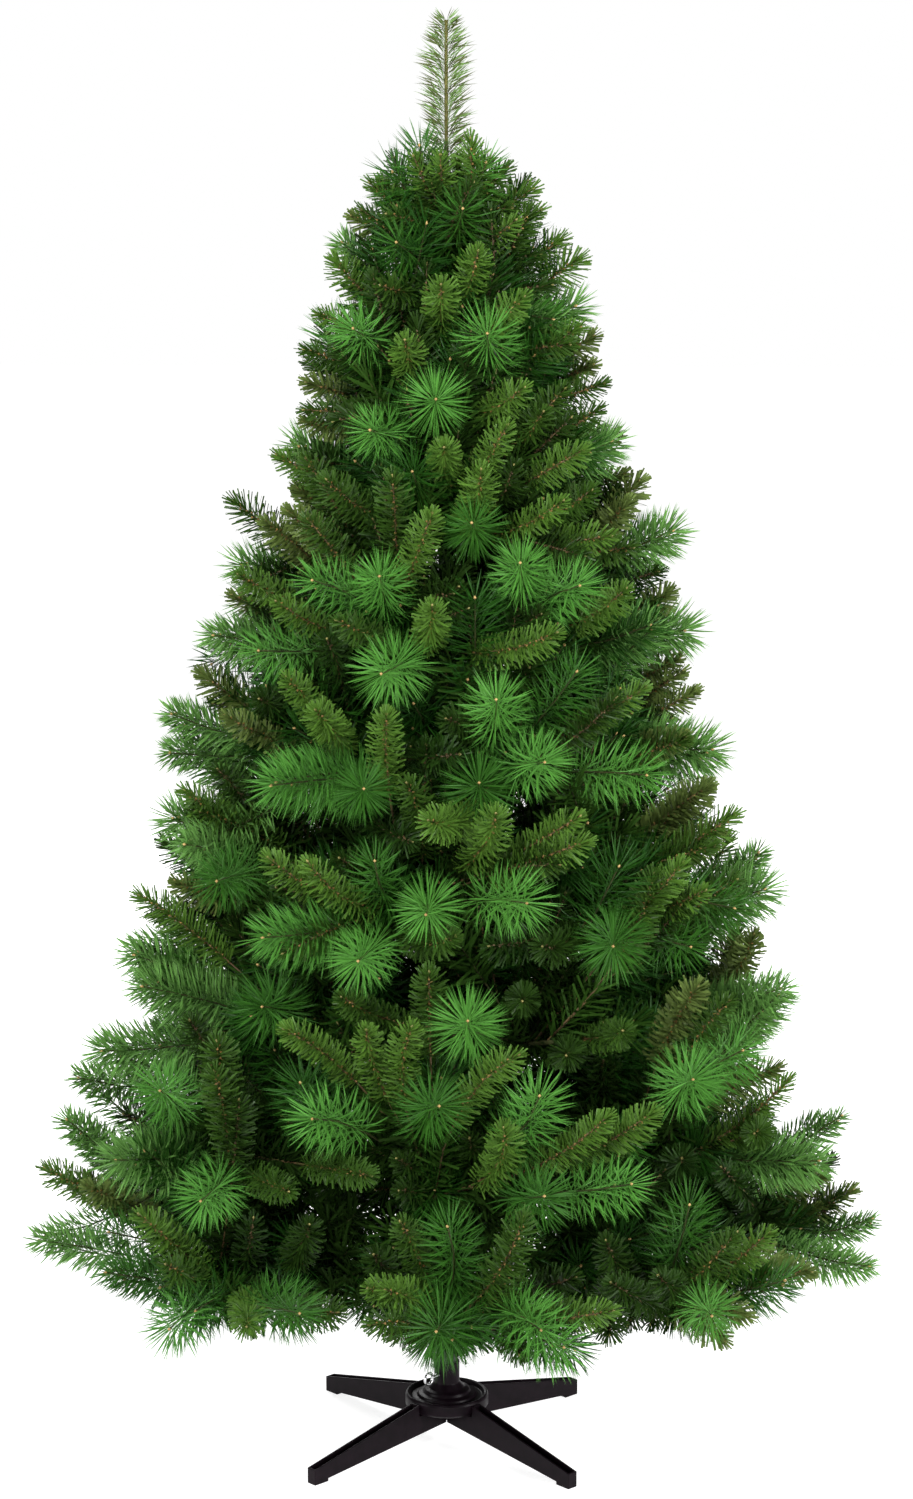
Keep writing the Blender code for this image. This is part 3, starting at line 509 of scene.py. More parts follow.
# The rule's own sprays stand back to these shares of the crown's radius in front and at the
# sides, between these angles from the camera's side of the tree
FRONT_REACH = 0.75
SIDE_REACH = 0.90
FRONT_ANGLE = 55.0
BACK_ANGLE = 100.0
# Shades that the rule's own sprays get, and the darker ones of those that stand back in front:
# painted shade.
RULE_SHADES = (1, 2, 3)
HIDDEN_SHADES = (0, 0, 0, 1)

# Sprays over the sides and the back, and a second layer low at the back: how many there are,
# how far out and how high they reach, and how they turn and lift in degrees, or rise as a slope
BACK_SPRAYS = 200
BACK_PINES = 0.45
BACK_REACH = (0.88, 0.98)
BACK_LOWEST = 0.05
BACK_PINE_LIFT = (0.0, 25.0)
BACK_FIR_LIFT = (20.0, 50.0)
BACK_TURN = 25.0
LOW_BACK_SPRAYS = 48
LOW_BACK_HEIGHTS = (0.24, 0.46)
LOW_BACK_REACH = (0.50, 0.80)
LOW_BACK_TURN = 35.0
LOW_BACK_RISE = (-0.3, 0.4)
# The low second layer, further in, has only the darkest shades: painted shade.
LOW_BACK_SHADES = (0, 1)

# Places of the outline where the photograph shows sky: the pixel and the radius in pixels. The
# sprays of a mass, those of the back and those beside a seen one keep a kind's own number of
# pixels off them. It is checked at some shares of a twig's length, and a mass's twig that fails
# is pulled in, down to a least share of its reach.
SKY_PLACES = (
    (650, 503, 10), (695, 560, 16), (710, 592, 14), (730, 660, 20), (722, 712, 14), (752, 715, 18),
    (745, 782, 14), (768, 812, 20), (790, 868, 20), (778, 935, 20), (734, 944, 7), (805, 935, 20),
    (812, 1035, 20), (795, 1036, 8), (822, 1090, 14), (868, 1142, 14), (890, 1182, 12),
    (856, 1290, 16), (832, 1300, 20), (252, 480, 14), (240, 526, 12), (212, 536, 14),
    (182, 606, 14), (196, 655, 10), (172, 686, 16), (150, 735, 12), (156, 778, 12), (140, 862, 16),
    (112, 925, 14), (104, 1000, 18), (66, 1035, 14), (62, 1094, 12), (104, 1104, 10),
    (40, 1145, 14), (66, 1206, 10), (136, 1250, 12), (52, 1268, 12), (110, 1306, 16),
    (206, 1350, 14), (290, 1350, 12), (322, 1340, 12), (645, 1352, 14), (400, 112, 12),
    (505, 112, 12), (545, 158, 12), (590, 215, 10), (606, 268, 12), (640, 345, 12), (655, 400, 10),
    (652, 500, 10), (322, 205, 10), (300, 268, 12), (262, 420, 12), (276, 470, 6),
)

NEAR_SKY = {FIR: 12.0, PINE: 24.0, INNER: 16.0}
TWIG_CHECKS = (0.45, 0.6, 0.75, 0.9, 1.0)
PULL_IN = 0.93
LEAST_REACH = 0.6

# Places where the photograph shows a dark hollow in the crown. In front, and further out than
# this share of the crown's radius, the sprays of a mass and those beside a seen one keep so many
# pixels off them.
HOLLOW_PLACES = (
    (473, 539, 12), (481, 1009, 14), (488, 916, 14), (521, 1111, 12), (391, 1073, 14),
    (495, 451, 10), (487, 1092, 12), (471, 503, 10), (177, 1085, 6), (529, 786, 12), (386, 742, 12),
    (540, 1010, 14), (400, 930, 12), (650, 1060, 12), (450, 640, 10), (560, 700, 10),
    (323, 800, 12), (446, 537, 10), (557, 589, 10),
)
HOLLOW_DEPTH = 0.60
NEAR_HOLLOW = 20.0

# A spray: its kind, its twig's path, the length that its needles cover, its shade, a seed of its
# own, and how long its needles are against the usual ones
Spray = namedtuple("Spray", "kind path covered shade seed size", defaults=(1.0,))


# Paths and the plan of the tree

def polar(azimuth, radius, height):
    angle = math.radians(azimuth)
    return Vector((radius * math.cos(angle), radius * math.sin(angle), height))


def curve_point(path, share):
    """A point on the quadratic curve through a path's start, control point and end."""
    start, control, end = path
    back = 1.0 - share
    return back * back * start + 2.0 * back * share * control + share * share * end


def curve_direction(path, share):
    start, control, end = path
    return ((1.0 - share) * (control - start) + share * (end - control)).normalized()


def crown_radius(height):
    share = (CROWN_TOP - height) / (CROWN_TOP - CROWN_FOOT)
    share = min(max(share, 0.0), 1.0)
    return CROWN_TOP_RADIUS + (CROWN_FOOT_RADIUS - CROWN_TOP_RADIUS) * share**CROWN_SWELL


def collar_apothem(tier):
    share = tier / (len(TIERS) - 1)
    return COLLAR_APOTHEM + (COLLAR_APOTHEM_TOP - COLLAR_APOTHEM) * share


def collar_height(tier):
    return TIERS[tier].tip_height - TIERS[tier].rise


def branch_azimuth(tier, index):
    return TIERS[tier].turn + 360.0 * index / TIERS[tier].masses


def branch_path(tier, index):
    """The curve of a whole branch, from its collar's flat to where its leading spray begins."""
    plan = TIERS[tier]
    azimuth = branch_azimuth(tier, index)
    tip_radius = crown_radius(plan.tip_height)
    foot = collar_height(tier)
    end_radius = max(tip_radius - LEAD_BEYOND, LEAST_BRANCH * tip_radius)
    end_height = foot + plan.rise * end_radius / tip_radius
    root_radius = collar_apothem(tier) + CLEARANCE
    start = polar(azimuth, root_radius, foot)
    control = polar(azimuth, root_radius + BRANCH_TURN * (end_radius - root_radius), foot)
    return start, control, polar(azimuth, end_radius, end_height)


def share_at_radius(path, radius):
    """How far along a path its distance from the trunk's axis reaches a radius."""
    low, high = 0.0, 1.0
    for _ in range(HALVINGS):
        middle = (low + high) / 2.0
        if curve_point(path, middle).xy.length < radius:
            low = middle
        else:
            high = middle
    return low


def split_path(path, share):
    """The two halves of a path, which meet at a share of its length."""
    start, control, end = path
    middle = curve_point(path, share)
    first = (start, start.lerp(control, share), middle)
    return first, (middle, control.lerp(end, share), end)


def spread_in_cell(number, count):
    """Where in its cell a spray's tip goes: across and up, each from -1 to 1, spread evenly."""
    if number == 0:
        return 0.0, 0.0
    angle = math.radians(GOLDEN_TURN * number + FIRST_TURN)
    radius = CELL_SPREAD * math.sqrt(number / (count - 1))
    return radius * math.cos(angle), radius * math.sin(angle)


def root_on_stem(stem, target, kind):
    """The point on a stem from which a twig reaches its target best, at the kind's own angle."""
    best = None
    for step in range(FIRST_ROOT_STEP, STEM_STEPS):
        share = step / STEM_STEPS
        root = curve_point(stem, share)
        line = target - root
        lift = math.degrees(math.asin(line.z / line.length))
        turn = math.degrees(line.angle(curve_direction(stem, share)))
        cost = ((line.length - kind.reach) / REACH_EASE) ** 2
        cost += ((lift - kind.lift) / ANGLE_EASE) ** 2 + ((turn - kind.spread) / ANGLE_EASE) ** 2
        if best is None or cost < best[0]:
            best = (cost, root)
    return best[1]


def twig_path(root, tip, droop):
    """A twig's curve. It leaves its branch nearly straight, droops, and turns up to its tip."""
    middle = root.lerp(tip, TWIG_BEND)
    middle.z -= droop * (tip - root).length
    return root, middle, tip


def source_targets(tier, index, draw):
    """The kind and the tip of each spray that the solids of a mass have."""
    plan = TIERS[tier]
    targets = []
    for number in range(plan.sprays):
        across, up = spread_in_cell(number, plan.sprays)
        rise = 0.0 if number == 0 else CELL_MIDDLE + CELL_HALF_HEIGHT * up
        height = max(plan.tip_height + TIER_SPACING * rise, LOWEST_TIP)
        is_pine = number == 0 or up < LOW_IN_CELL or draw.random() < STRAY_PINES
        kind = PINE if is_pine else FIR
        reach = 1.0 if number == 0 else draw.uniform(*SOURCE_REACH)
        azimuth = branch_azimuth(tier, index) + (180.0 / plan.masses) * across
        targets.append((kind, polar(azimuth, reach * crown_radius(height), height)))
    return targets


def further_targets(tier, index, draw):
    """More tips spread evenly over the same cell, then inner ones, then those at the trunk."""
    plan = TIERS[tier]
    half_width = 180.0 / plan.masses
    targets = []
    for number in range(plan.more + plan.inner + plan.core):
        across = 2.0 * ((ACROSS_STEP * (number + 1) + ACROSS_SHIFT * index) % 1.0) - 1.0
        up = 2.0 * ((UP_STEP * (number + 1) + UP_SHIFT * tier) % 1.0) - 1.0
        rise = CELL_MIDDLE + CELL_HALF_HEIGHT * up * FILLED_UP
        height = max(plan.tip_height + TIER_SPACING * rise, LOWEST_TIP)
        azimuth = branch_azimuth(tier, index) + half_width * across * FILLED_ACROSS
        if number >= plan.more + plan.inner:
            kind, reach = INNER, draw.uniform(*CORE_REACH)
            height = max(height - CORE_DROP, LOWEST_TIP + CORE_LOWEST)
        elif number >= plan.more:
            kind, reach = INNER, draw.uniform(*INNER_REACH)
            height = max(height - INNER_DROP, LOWEST_TIP + INNER_LOWEST)
        else:
            kind = PINE if draw.random() < OUTER_PINES else FIR
            reach = draw.uniform(*(OUTER_PINE_REACH if kind == PINE else OUTER_FIR_REACH))
        targets.append((kind, polar(azimuth, reach * crown_radius(height), height)))
    return targets


def camera_turned():
    return Euler((math.radians(CAMERA_TILT), 0.0, math.radians(CAMERA_TURN))).to_matrix()


def pixel_of(point):
    """Where the camera sees a point, in pixels of the photograph."""
    width, height = PHOTO_SIZE
    focal = CAMERA_LENS / CAMERA_SENSOR * height
    place = camera_turned().transposed() @ (point - Vector(CAMERA_PLACE))
    return width / 2 - focal * place.x / place.z, height / 2 + focal * place.y / place.z


def is_near(point, places, margin):
    """Whether the camera sees a point within a margin of one of the places."""
    x, y = pixel_of(point)
    for place_x, place_y, radius in places:
        if math.hypot(x - place_x, y - place_y) < radius + margin:
            return True
    return False


def hides_sky(spray):
    """Whether a spray stands before a place of the outline where the photograph shows sky."""
    points = [curve_point(spray.path, share) for share in TWIG_CHECKS]
    return any(is_near(point, SKY_PLACES, NEAR_SKY[spray.kind]) for point in points)


def fills_hollow(spray):
    """Whether a spray stands in the front of the crown before a hollow of the photograph."""
    facing = Vector(CAMERA_PLACE).xy
    for share in TWIG_CHECKS:
        point = curve_point(spray.path, share)
        if point.xy.dot(facing) < 0.0 or point.xy.length < HOLLOW_DEPTH * crown_radius(point.z):
            continue
        if is_near(point, HOLLOW_PLACES, NEAR_HOLLOW):
            return True
    return False


def seen_place(seen):
    """Where a seen spray ends: on its pixel's line, at its depth in the crown."""
    width, height = PHOTO_SIZE
    focal = CAMERA_LENS / CAMERA_SENSOR * height
    across, up = (seen.x - width / 2) / focal, (height / 2 - seen.y) / focal
    line = camera_turned() @ Vector((across, up, -1.0))
    eye = Vector(CAMERA_PLACE)
    best = None
    for step in range(SIGHT_STEPS):
        point = eye + (SIGHT_START + SIGHT_STEP * step) * line
        outside = point.xy.length - SEEN_DEPTHS[seen.deep] * crown_radius(point.z)
        if outside <= 0.0:
            return point
        if best is None or outside < best[0]:
            best = (outside, point)
    return best[1]


def beside(seen, draw):
    """A spray beside one that the photograph shows: back along it, turned, and further in."""
    turn = draw.choice((-1.0, 1.0)) * draw.uniform(*BESIDE_TURN)
    back = math.radians(seen.heading - turn)
    shift = draw.uniform(*BESIDE_SHIFT)
    x = seen.x - shift * math.cos(back)
    y = seen.y + shift * math.sin(back)
    return Seen(x, y, seen.heading + turn, seen.side, seen.deep + 1)


def companions(seen, kind, stems, draw):
    """The darker spray beside one seen from the side, unless it hides sky or fills a hollow."""
    grown = seen_sprays(beside(seen, draw), draw.choice((FIR, kind)), stems, draw)
    if hides_sky(grown[0]) or fills_hollow(grown[0]):
        return []
    # It is darker than the spray that it is beside: painted shade.
    shade = draw.choice(SEEN_SHADES[min(seen.deep + 1, 2)])
    return [grown[0]._replace(shade=shade)] + grown[1:]


def seen_sprays(seen, kind, stems, draw):
    """A spray that ends at its place in the photograph, and its twins if it has them."""
    turned = camera_turned()
    tip = seen_place(seen)
    heading = math.radians(seen.heading)
    flat = turned @ Vector((math.cos(heading), math.sin(heading), 0.0))
    facing = (Vector(CAMERA_PLACE) - tip).normalized()
    direction = (seen.side * flat + math.sqrt(1.0 - seen.side**2) * facing).normalized()
    past = PAST_BUD * (1.0 - PAST_BUD_SEEN * seen.side) if kind == PINE else PAST_FIR
    tip = tip + past * direction
    # A seen spray's shade is darker the deeper it is, which is painted shade. Seen from the side it
    # is at least the second darkest.
    shade = draw.choice(SEEN_SHADES[min(seen.deep, 2)])
    if seen.side > OUTLINE_SIDE and seen.deep < 3:
        shade = max(shade, 1)
        # At the crown's edge, and for a fir further in, the outline's shade paints light through
        # needles.
        at_edge = kind == PINE and seen.side > BESIDE_SIDE and reach_in_front(tip) > FRONT_REACH
        if at_edge or (kind == FIR and seen.deep):
            shade = PAINTED_BACKLIGHT_SHADE
    if kind == INNER:
        shade = 0
    sprays = sprays_to(tip, direction, kind, shade, stems, draw)
    if kind == PINE and seen.side > BESIDE_SIDE:
        for back, turn in TWINS:
            behind = tip - back * direction - TWIN_BEHIND * facing
            turned_by = Quaternion(facing, math.radians(turn))
            sprays += sprays_to(behind, turned_by @ direction, PINE, shade, stems, draw)[:1]
    return [spray._replace(size=seen.size) for spray in sprays]


def back_sprays(stems, draw):
    """Sprays spread evenly over the crown's sides and back, which the photograph doesn't show."""
    sprays = []
    for number in range(BACK_SPRAYS):
        share = math.sqrt((number + 0.5) / BACK_SPRAYS)
        height = CROWN_TOP + share * (LOWEST_TIP + BACK_LOWEST - CROWN_TOP)
        azimuth = GOLDEN_TURN * number
        kind = PINE if draw.random() < BACK_PINES else FIR
        tip = polar(azimuth, draw.uniform(*BACK_REACH) * crown_radius(height), height)
        lift = math.radians(draw.uniform(*(BACK_PINE_LIFT if kind == PINE else BACK_FIR_LIFT)))
        turned = azimuth + draw.uniform(-BACK_TURN, BACK_TURN)
        outward = polar(turned, math.cos(lift), math.sin(lift))
        shade = draw.choice(RULE_SHADES)
        grown = sprays_to(tip, outward, kind, shade, stems, draw)
        if reach_in_front(tip) == 1.0 and not hides_sky(grown[0]):
            sprays += grown
    return sprays


def low_back_sprays(stems, draw):
    """A second layer, further in, behind the lowest sprays of the back."""
    sprays = []
    for number in range(LOW_BACK_SPRAYS):
        height = draw.uniform(*LOW_BACK_HEIGHTS)
        azimuth = GOLDEN_TURN * number
        tip = polar(azimuth, draw.uniform(*LOW_BACK_REACH) * crown_radius(height), height)
        turned = azimuth + draw.uniform(-LOW_BACK_TURN, LOW_BACK_TURN)
        outward = polar(turned, 1.0, draw.uniform(*LOW_BACK_RISE)).normalized()
        kind = draw.choice((FIR, PINE))
        grown = sprays_to(tip, outward, kind, draw.choice(LOW_BACK_SHADES), stems, draw)
        if reach_in_front(tip) == 1.0 and not hides_sky(grown[0]):
            sprays += grown
    return sprays


def sprays_to(tip, direction, kind, shade, stems, draw):
    """A spray to a tip, on a twig from the nearest branch, with inner needles on its bare part."""
    behind = tip - (kind.covered + ROOT_BEHIND) * direction
    best = None
    for _, stem in stems:
        for step in range(1, STEM_STEPS):
            root = curve_point(stem, step / STEM_STEPS)
            further_out = max(0.0, root.xy.length - behind.xy.length)
            cost = (root - behind).length + ROOT_OUT_COST * further_out
            if best is None or cost < best[0]:
                best = (cost, root)
    control = tip - LEAD_SHARE * kind.covered * direction
    path = (best[1], control, tip)
    sprays = [Spray(kind, path, kind.covered, shade, draw.random())]
    span = (control - best[1]).length + (tip - control).length
    bare = span - kind.covered
    if bare > SHORTEST_BARE:
        inner, _ = split_path(path, bare / span)
        sprays.append(Spray(INNER, inner, bare, draw.randrange(2), draw.random()))
    return sprays


def reach_in_front(point):
    """How far out a spray of the rule goes there: less where the photograph shows the crown."""
    facing = Vector(CAMERA_PLACE).xy
    angle = math.degrees(point.xy.angle(facing))
    if angle > BACK_ANGLE:
        return 1.0
    share = max(0.0, (angle - FRONT_ANGLE) / (BACK_ANGLE - FRONT_ANGLE))
    return FRONT_REACH + (SIDE_REACH - FRONT_REACH) * share


# The shade of a rule's spray: the darkest ones, painted shade, for those pulled in.
def shade_for(kind, pulled_in, draw):
    if kind == INNER:
        return draw.randrange(2)
    return draw.choice(HIDDEN_SHADES if pulled_in else RULE_SHADES)


def mass_sprays(tier, index, path, draw):
    """Every spray of one mass by the rule. Those in front stand back for the seen ones."""
    sprays = []
    targets = source_targets(tier, index, draw) + further_targets(tier, index, draw)
    for number, (kind, target) in enumerate(targets):
        reach = reach_in_front(target) if kind != INNER else 1.0
        pulled_in = reach < 1.0
        droop = FIR_DROOP if kind == FIR else draw.uniform(*OTHER_DROOP)
        shade = shade_for(kind, pulled_in, draw)
        seed = draw.random()
        while True:
            tip = target.copy()
            tip.xy *= reach
            if number == 0:
                root = path[2] - LEAD_OVERLAP * curve_direction(path, 1.0)
            else:
                root = root_on_stem(path, tip, kind)
            spray = Spray(kind, twig_path(root, tip, droop), kind.covered, shade, seed)
            if not hides_sky(spray) and not fills_hollow(spray):
                sprays.append(spray)
                break
            reach *= PULL_IN
            if reach < LEAST_REACH:
                break
    return sprays


def leader_sprays(stem):
    """The needles of the leader itself, and the highest firs around its foot."""
    draw = random.Random(SEED)
    top = Vector((0.0, 0.0, TREE_HEIGHT + LEADER_BEYOND))
    foot = top - Vector((0.0, 0.0, LEADER.covered))
    path = (foot, foot.lerp(top, 0.5), top)
    sprays = [Spray(LEADER, path, LEADER.covered, shade, draw.random()) for shade in (0, 1)]
    for number in range(2 * LEADER_SPRAYS):
        step = number * LEADER_TIPS_ORDER % LEADER_SPRAYS
        height = LEADER_TIPS + LEADER_TIPS_RISE * step / (LEADER_SPRAYS - 1)
        azimuth = LEADER_TURN + 180.0 * number / LEADER_SPRAYS
        reach = 1.0 if number % 2 == 0 else LEADER_INNER_REACH
        tip = polar(azimuth, reach * crown_radius(height), height)
        tip.xy *= reach_in_front(tip)
        twig = twig_path(root_on_stem(stem, tip, TOP_FIR), tip, TOP_DROOP)
        sprays.append(Spray(TOP_FIR, twig, TOP_FIR.covered, draw.randrange(1, 4), draw.random()))
    return sprays


def plan_tree():
    """The bare boughs, the stems of the masses, and every spray."""
    boughs = []
    stems = []
    sprays = []
    for tier, plan in enumerate(TIERS):
        for index in range(plan.masses):
            draw = random.Random(SEED + SEEDS_PER_TIER * tier + index)
            path = branch_path(tier, index)
            if plan.bough_reach:
                bough, path = split_path(path, share_at_radius(path, plan.bough_reach))
                boughs.append((f"bough_{tier + 1}_{index + 1}", bough))
            stems.append((f"mass_{tier + 1}_{index + 1}", path))
            sprays += mass_sprays(tier, index, path, draw)
    foot = Vector((0.0, 0.0, POLE_TOP + CLEARANCE))
    head = Vector((0.0, 0.0, LEADER_FOOT))
    leader = (foot, foot.lerp(head, 0.5), head)
    sprays += leader_sprays(leader)
    draw = random.Random(SEED)
    for _, path in stems + boughs:
        covered = STEM_NEEDLES * (path[2] - path[0]).length
        sprays.append(Spray(INNER, path, covered, 0, draw.random()))
    stems.append(("leader", leader))
    for kind, rows in ((FIR, SEEN_FIRS), (PINE, SEEN_PINES), (INNER, SEEN_INNERS)):
        for row in rows:
            seen = Seen(*row)
            sprays += seen_sprays(seen, kind, stems, draw)
            if seen.side > BESIDE_SIDE and seen.size > THIN_SIZE:
                sprays += companions(seen, kind, stems, draw)
    sprays += back_sprays(stems, draw)
    sprays += low_back_sprays(stems, draw)
    return boughs, stems, sprays


# Meshes from arrays

class Heap:
    """The points and faces of a joined mesh, added part by part."""

    def __init__(self):
        self.points = []
        self.quads = []
        self.triangles = []
        self.count = 0

    def add(self, points, quads=None, triangles=None):
        points = np.asarray(points, float).reshape(-1, 3)
        for faces, kept in ((quads, self.quads), (triangles, self.triangles)):
            if faces is not None and len(faces):
                kept.append(np.asarray(faces, np.int64) + self.count)
        self.points.append(points)
        self.count += len(points)

    def mesh(self, name, smooth=True):
        mesh = bpy.data.meshes.new(name)
        points = np.concatenate(self.points)
        corners = []
        totals = []
        for faces, sides in ((self.quads, 4), (self.triangles, 3)):
            if faces:
                joined = np.concatenate(faces)
                corners.append(joined.ravel())
                totals.append(np.full(len(joined), sides))
        corners = np.concatenate(corners)
        totals = np.concatenate(totals)
        starts = np.concatenate([[0], np.cumsum(totals)[:-1]])
        mesh.vertices.add(len(points))
        mesh.vertices.foreach_set("co", points.astype(np.float32).ravel())
        mesh.loops.add(len(corners))
        mesh.loops.foreach_set("vertex_index", corners.astype(np.int32))
        mesh.polygons.add(len(totals))
        mesh.polygons.foreach_set("loop_start", starts.astype(np.int32))
        mesh.update(calc_edges=True)
        mesh.polygons.foreach_set("use_smooth", np.full(len(totals), smooth))
        return mesh


def placed(name, data):
    """A new object in the scene."""
    thing = bpy.data.objects.new(name, data)
    bpy.context.scene.collection.objects.link(thing)
    return thing


def add_piece(name, mesh, material, nodes):
    """A visible piece of the tree, which replaces nodes of the source."""
    piece = placed(name, mesh)
    mesh.materials.append(material)
    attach(piece, "root")
    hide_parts(*nodes)


def unit(vectors):
    lengths = np.linalg.norm(vectors, axis=-1, keepdims=True)
    return vectors / np.maximum(lengths, SHORTEST_LENGTH)


def path_arrays(path, shares):
    """Points and directions along a quadratic path."""
    path = [np.array(corner) for corner in path]
    start, control, end = path
    shares = np.asarray(shares, float)[:, None]
    along = (1.0 - shares) * (control - start) + shares * (end - control)
    return curve_point(path, shares), unit(along)


def across_of(directions):
    """Two unit vectors across each direction."""
    is_upright = np.abs(directions[:, 2:3]) > NEARLY_UPRIGHT
    guide = np.where(is_upright, [[0.0, 1.0, 0.0]], [[0.0, 0.0, 1.0]])
    level = unit(np.cross(guide, directions))
    return level, np.cross(directions, level)


def add_rings(heap, rings, foot, head):
    """A skin over rings of as many corners each, closed by a point at its foot and its head."""
    count, sides = rings.shape[:2]
    index = np.arange(count * sides).reshape(count, sides)
    after = np.roll(index, -1, axis=1)
    quads = np.stack([index[:-1], after[:-1], after[1:], index[1:]], axis=-1).reshape(-1, 4)
    low, high = count * sides, count * sides + 1
    triangles = [(low, after[0, i], index[0, i]) for i in range(sides)]
    triangles += [(high, index[-1, i], after[-1, i]) for i in range(sides)]
    heap.add(np.concatenate([rings.reshape(-1, 3), [foot], [head]]), quads, triangles)


def add_tube(heap, points, directions, radii, sides):
    """A closed tube along points. Its radii are one to a ring, or one to each corner of each."""
    level, upright = across_of(directions)
    angles = (2.0 * math.pi * np.arange(sides) / sides)[None, :, None]
    arms = np.cos(angles) * level[:, None] + np.sin(angles) * upright[:, None]
    radii = np.asarray(radii, float).reshape(len(points), -1, 1)
    add_rings(heap, points[:, None] + radii * arms, points[0], points[-1])


def add_blades(heap, feet, directions, sides, lengths, widths, pointed):
    """Needles as flat blades of one face: blunt strips, or blades that taper to both ends."""
    half = 0.5 * widths[:, None] * sides
    ends = feet + lengths[:, None] * directions
    if pointed:
        middles = feet + WIDEST_AT * lengths[:, None] * directions
        rims = (feet, middles + half, ends, middles - half)
    else:
        foot, tip = BLUNT_FOOT * half, BLUNT_TIP * half
        rims = (feet - foot, feet + foot, ends + tip, ends - tip)
    heap.add(np.stack(rims, axis=1), 4 * np.arange(len(feet))[:, None] + [0, 1, 2, 3])


def spray_span(spray, look):
    """The shares of a twig's path at which its needles start and end, and the path's length."""
    start, control, end = spray.path
    span = (control - start).length + (end - control).length
    beyond = look.length * look.shares[2] * math.cos(math.radians(look.slants[2]))
    return max(0.0, 1.0 - spray.covered / span), 1.0 - min(MOST_BEYOND, beyond / span), span


def slanted(directions, angles, slants):
    """Unit vectors at a slant from each direction, at an angle around it."""
    level, upright = across_of(directions)
    out = np.cos(angles)[:, None] * level + np.sin(angles)[:, None] * upright
    return np.cos(slants)[:, None] * directions + np.sin(slants)[:, None] * out


def add_needles(heap, spray):
    """All the needles of one spray, in rows up its twig or all round it."""
    look = NEEDLES[spray.kind]
    draw = np.random.default_rng(int(spray.seed * SEED_STEPS))
    start, end, span = spray_span(spray, look)
    grown = min(spray.covered, span)
    if spray.kind == PINE:
        grown = max(grown, FULL_SHARE * spray.covered)
    if spray.shade == 0 and spray.kind in (FIR, PINE):
        grown *= HIDDEN_SHARE
    count = int(look.per_metre * grown)
    along = (np.arange(count) + 0.5 * draw.random(count)) / count
    if look.ring:
        ring = look.ring / min(spray.covered, span)
        depth = RING_DEPTH * ring * draw.normal(0.0, 1.0, count)
        along = np.clip(ring * np.floor(along / ring) + depth, 0.0, 1.0)
    points, directions = path_arrays(spray.path, start + (end - start) * along)
    number = np.arange(count) // look.bunch
    if look.pitch:
        turns = 2.0 * math.pi * along * spray.covered / look.pitch + math.pi * (number % 2)
    else:
        turns = GOLDEN_ANGLE * number
    if look.ways:
        way = 2.0 * math.pi / look.ways
        turns = way * np.round(turns / way)
    stray = math.radians(look.stray)
    turns = turns + 2.0 * math.pi * spray.seed + draw.normal(0.0, stray, count)
    slants = np.radians(np.interp(along, (0.0, SHORTER_FROM, 1.0), look.slants))
    slants = slants + draw.normal(0.0, stray, count)
    if look.bunch > 1:
        slants = slants + draw.normal(0.0, math.radians(BUNCH_STRAY), number[-1] + 1)[number]
    pointing = slanted(directions, turns, np.clip(slants, *SLANT_LIMITS))
    shares = (look.shares[0], 1.0, look.shares[1], look.shares[2])
    size = SIZE_RANGE[0] + (SIZE_RANGE[1] - SIZE_RANGE[0]) * (SIZE_SPREAD * spray.seed % 1.0)
    size *= spray.size
    lengths = size * look.length * np.interp(along, (0.0, LONGEST_FROM, SHORTER_FROM, 1.0), shares)
    lengths = lengths * draw.uniform(*LENGTH_RANGE, count)
    widths = look.width * draw.uniform(*WIDTH_RANGE, count)
    if spray.shade == PAINTED_BACKLIGHT_SHADE:
        widths = OUTLINE_WIDER * widths
    flat = unit(directions - np.sum(directions * pointing, axis=1, keepdims=True) * pointing)
    if look.pitch:
        twist = draw.normal(0.0, TWIST_STRAY, count)
    else:
        twist = draw.uniform(0.0, math.pi, count)
    sides = np.cos(twist)[:, None] * flat + np.sin(twist)[:, None] * np.cross(pointing, flat)
    add_blades(heap, points, pointing, sides, lengths, widths, look.pointed)


def add_beads(heap, spray):
    """Brown beads of three faces along the twig of a fir spray, all round it."""
    start, end, _ = spray_span(spray, NEEDLES[spray.kind])
    count = int(spray.covered / BEAD_SPACING)
    shares = start + BEADS_END * (end - start) * (np.arange(count) + 0.5) / count
    points, directions = path_arrays(spray.path, shares)
    turns = GOLDEN_ANGLE * np.arange(count)
    out = slanted(directions, turns, np.full(count, math.pi / 2.0))
    across = np.cross(directions, out)
    middles = points + BEAD_OFFSET * out
    corners = [middles + BEAD_RADIUS * out]
    for step in range(3):
        angle = 2.0 * math.pi * step / 3.0
        arm = math.cos(angle) * directions + math.sin(angle) * across
        corners.append(middles + BEAD_RADIUS * (arm - BEAD_SUNK * out))
    base = 4 * np.arange(count)[:, None]
    faces = [base + face for face in ((0, 1, 2), (0, 2, 3), (0, 3, 1))]
    heap.add(np.stack(corners, axis=1), None, np.concatenate(faces))


def add_bud(heap, spray):
    """A bud of eight faces at the end of a spray's twig."""
    _, end, _ = spray_span(spray, NEEDLES[spray.kind])
    points, directions = path_arrays(spray.path, [end])
    level, upright = across_of(directions)
    length = BUD_LENGTH * directions[0]
    middle = points[0] + BUD_WIDEST * length
    ring = [middle + BUD_RADIUS * arm for arm in (level[0], upright[0], -level[0], -upright[0])]
    corners = [points[0] - BUD_SUNK * length] + ring + [points[0] + length]
    faces = [(0, 1 + (i + 1) % 4, 1 + i) for i in range(4)]
    faces += [(5, 1 + i, 1 + (i + 1) % 4) for i in range(4)]
    heap.add(corners, None, faces)


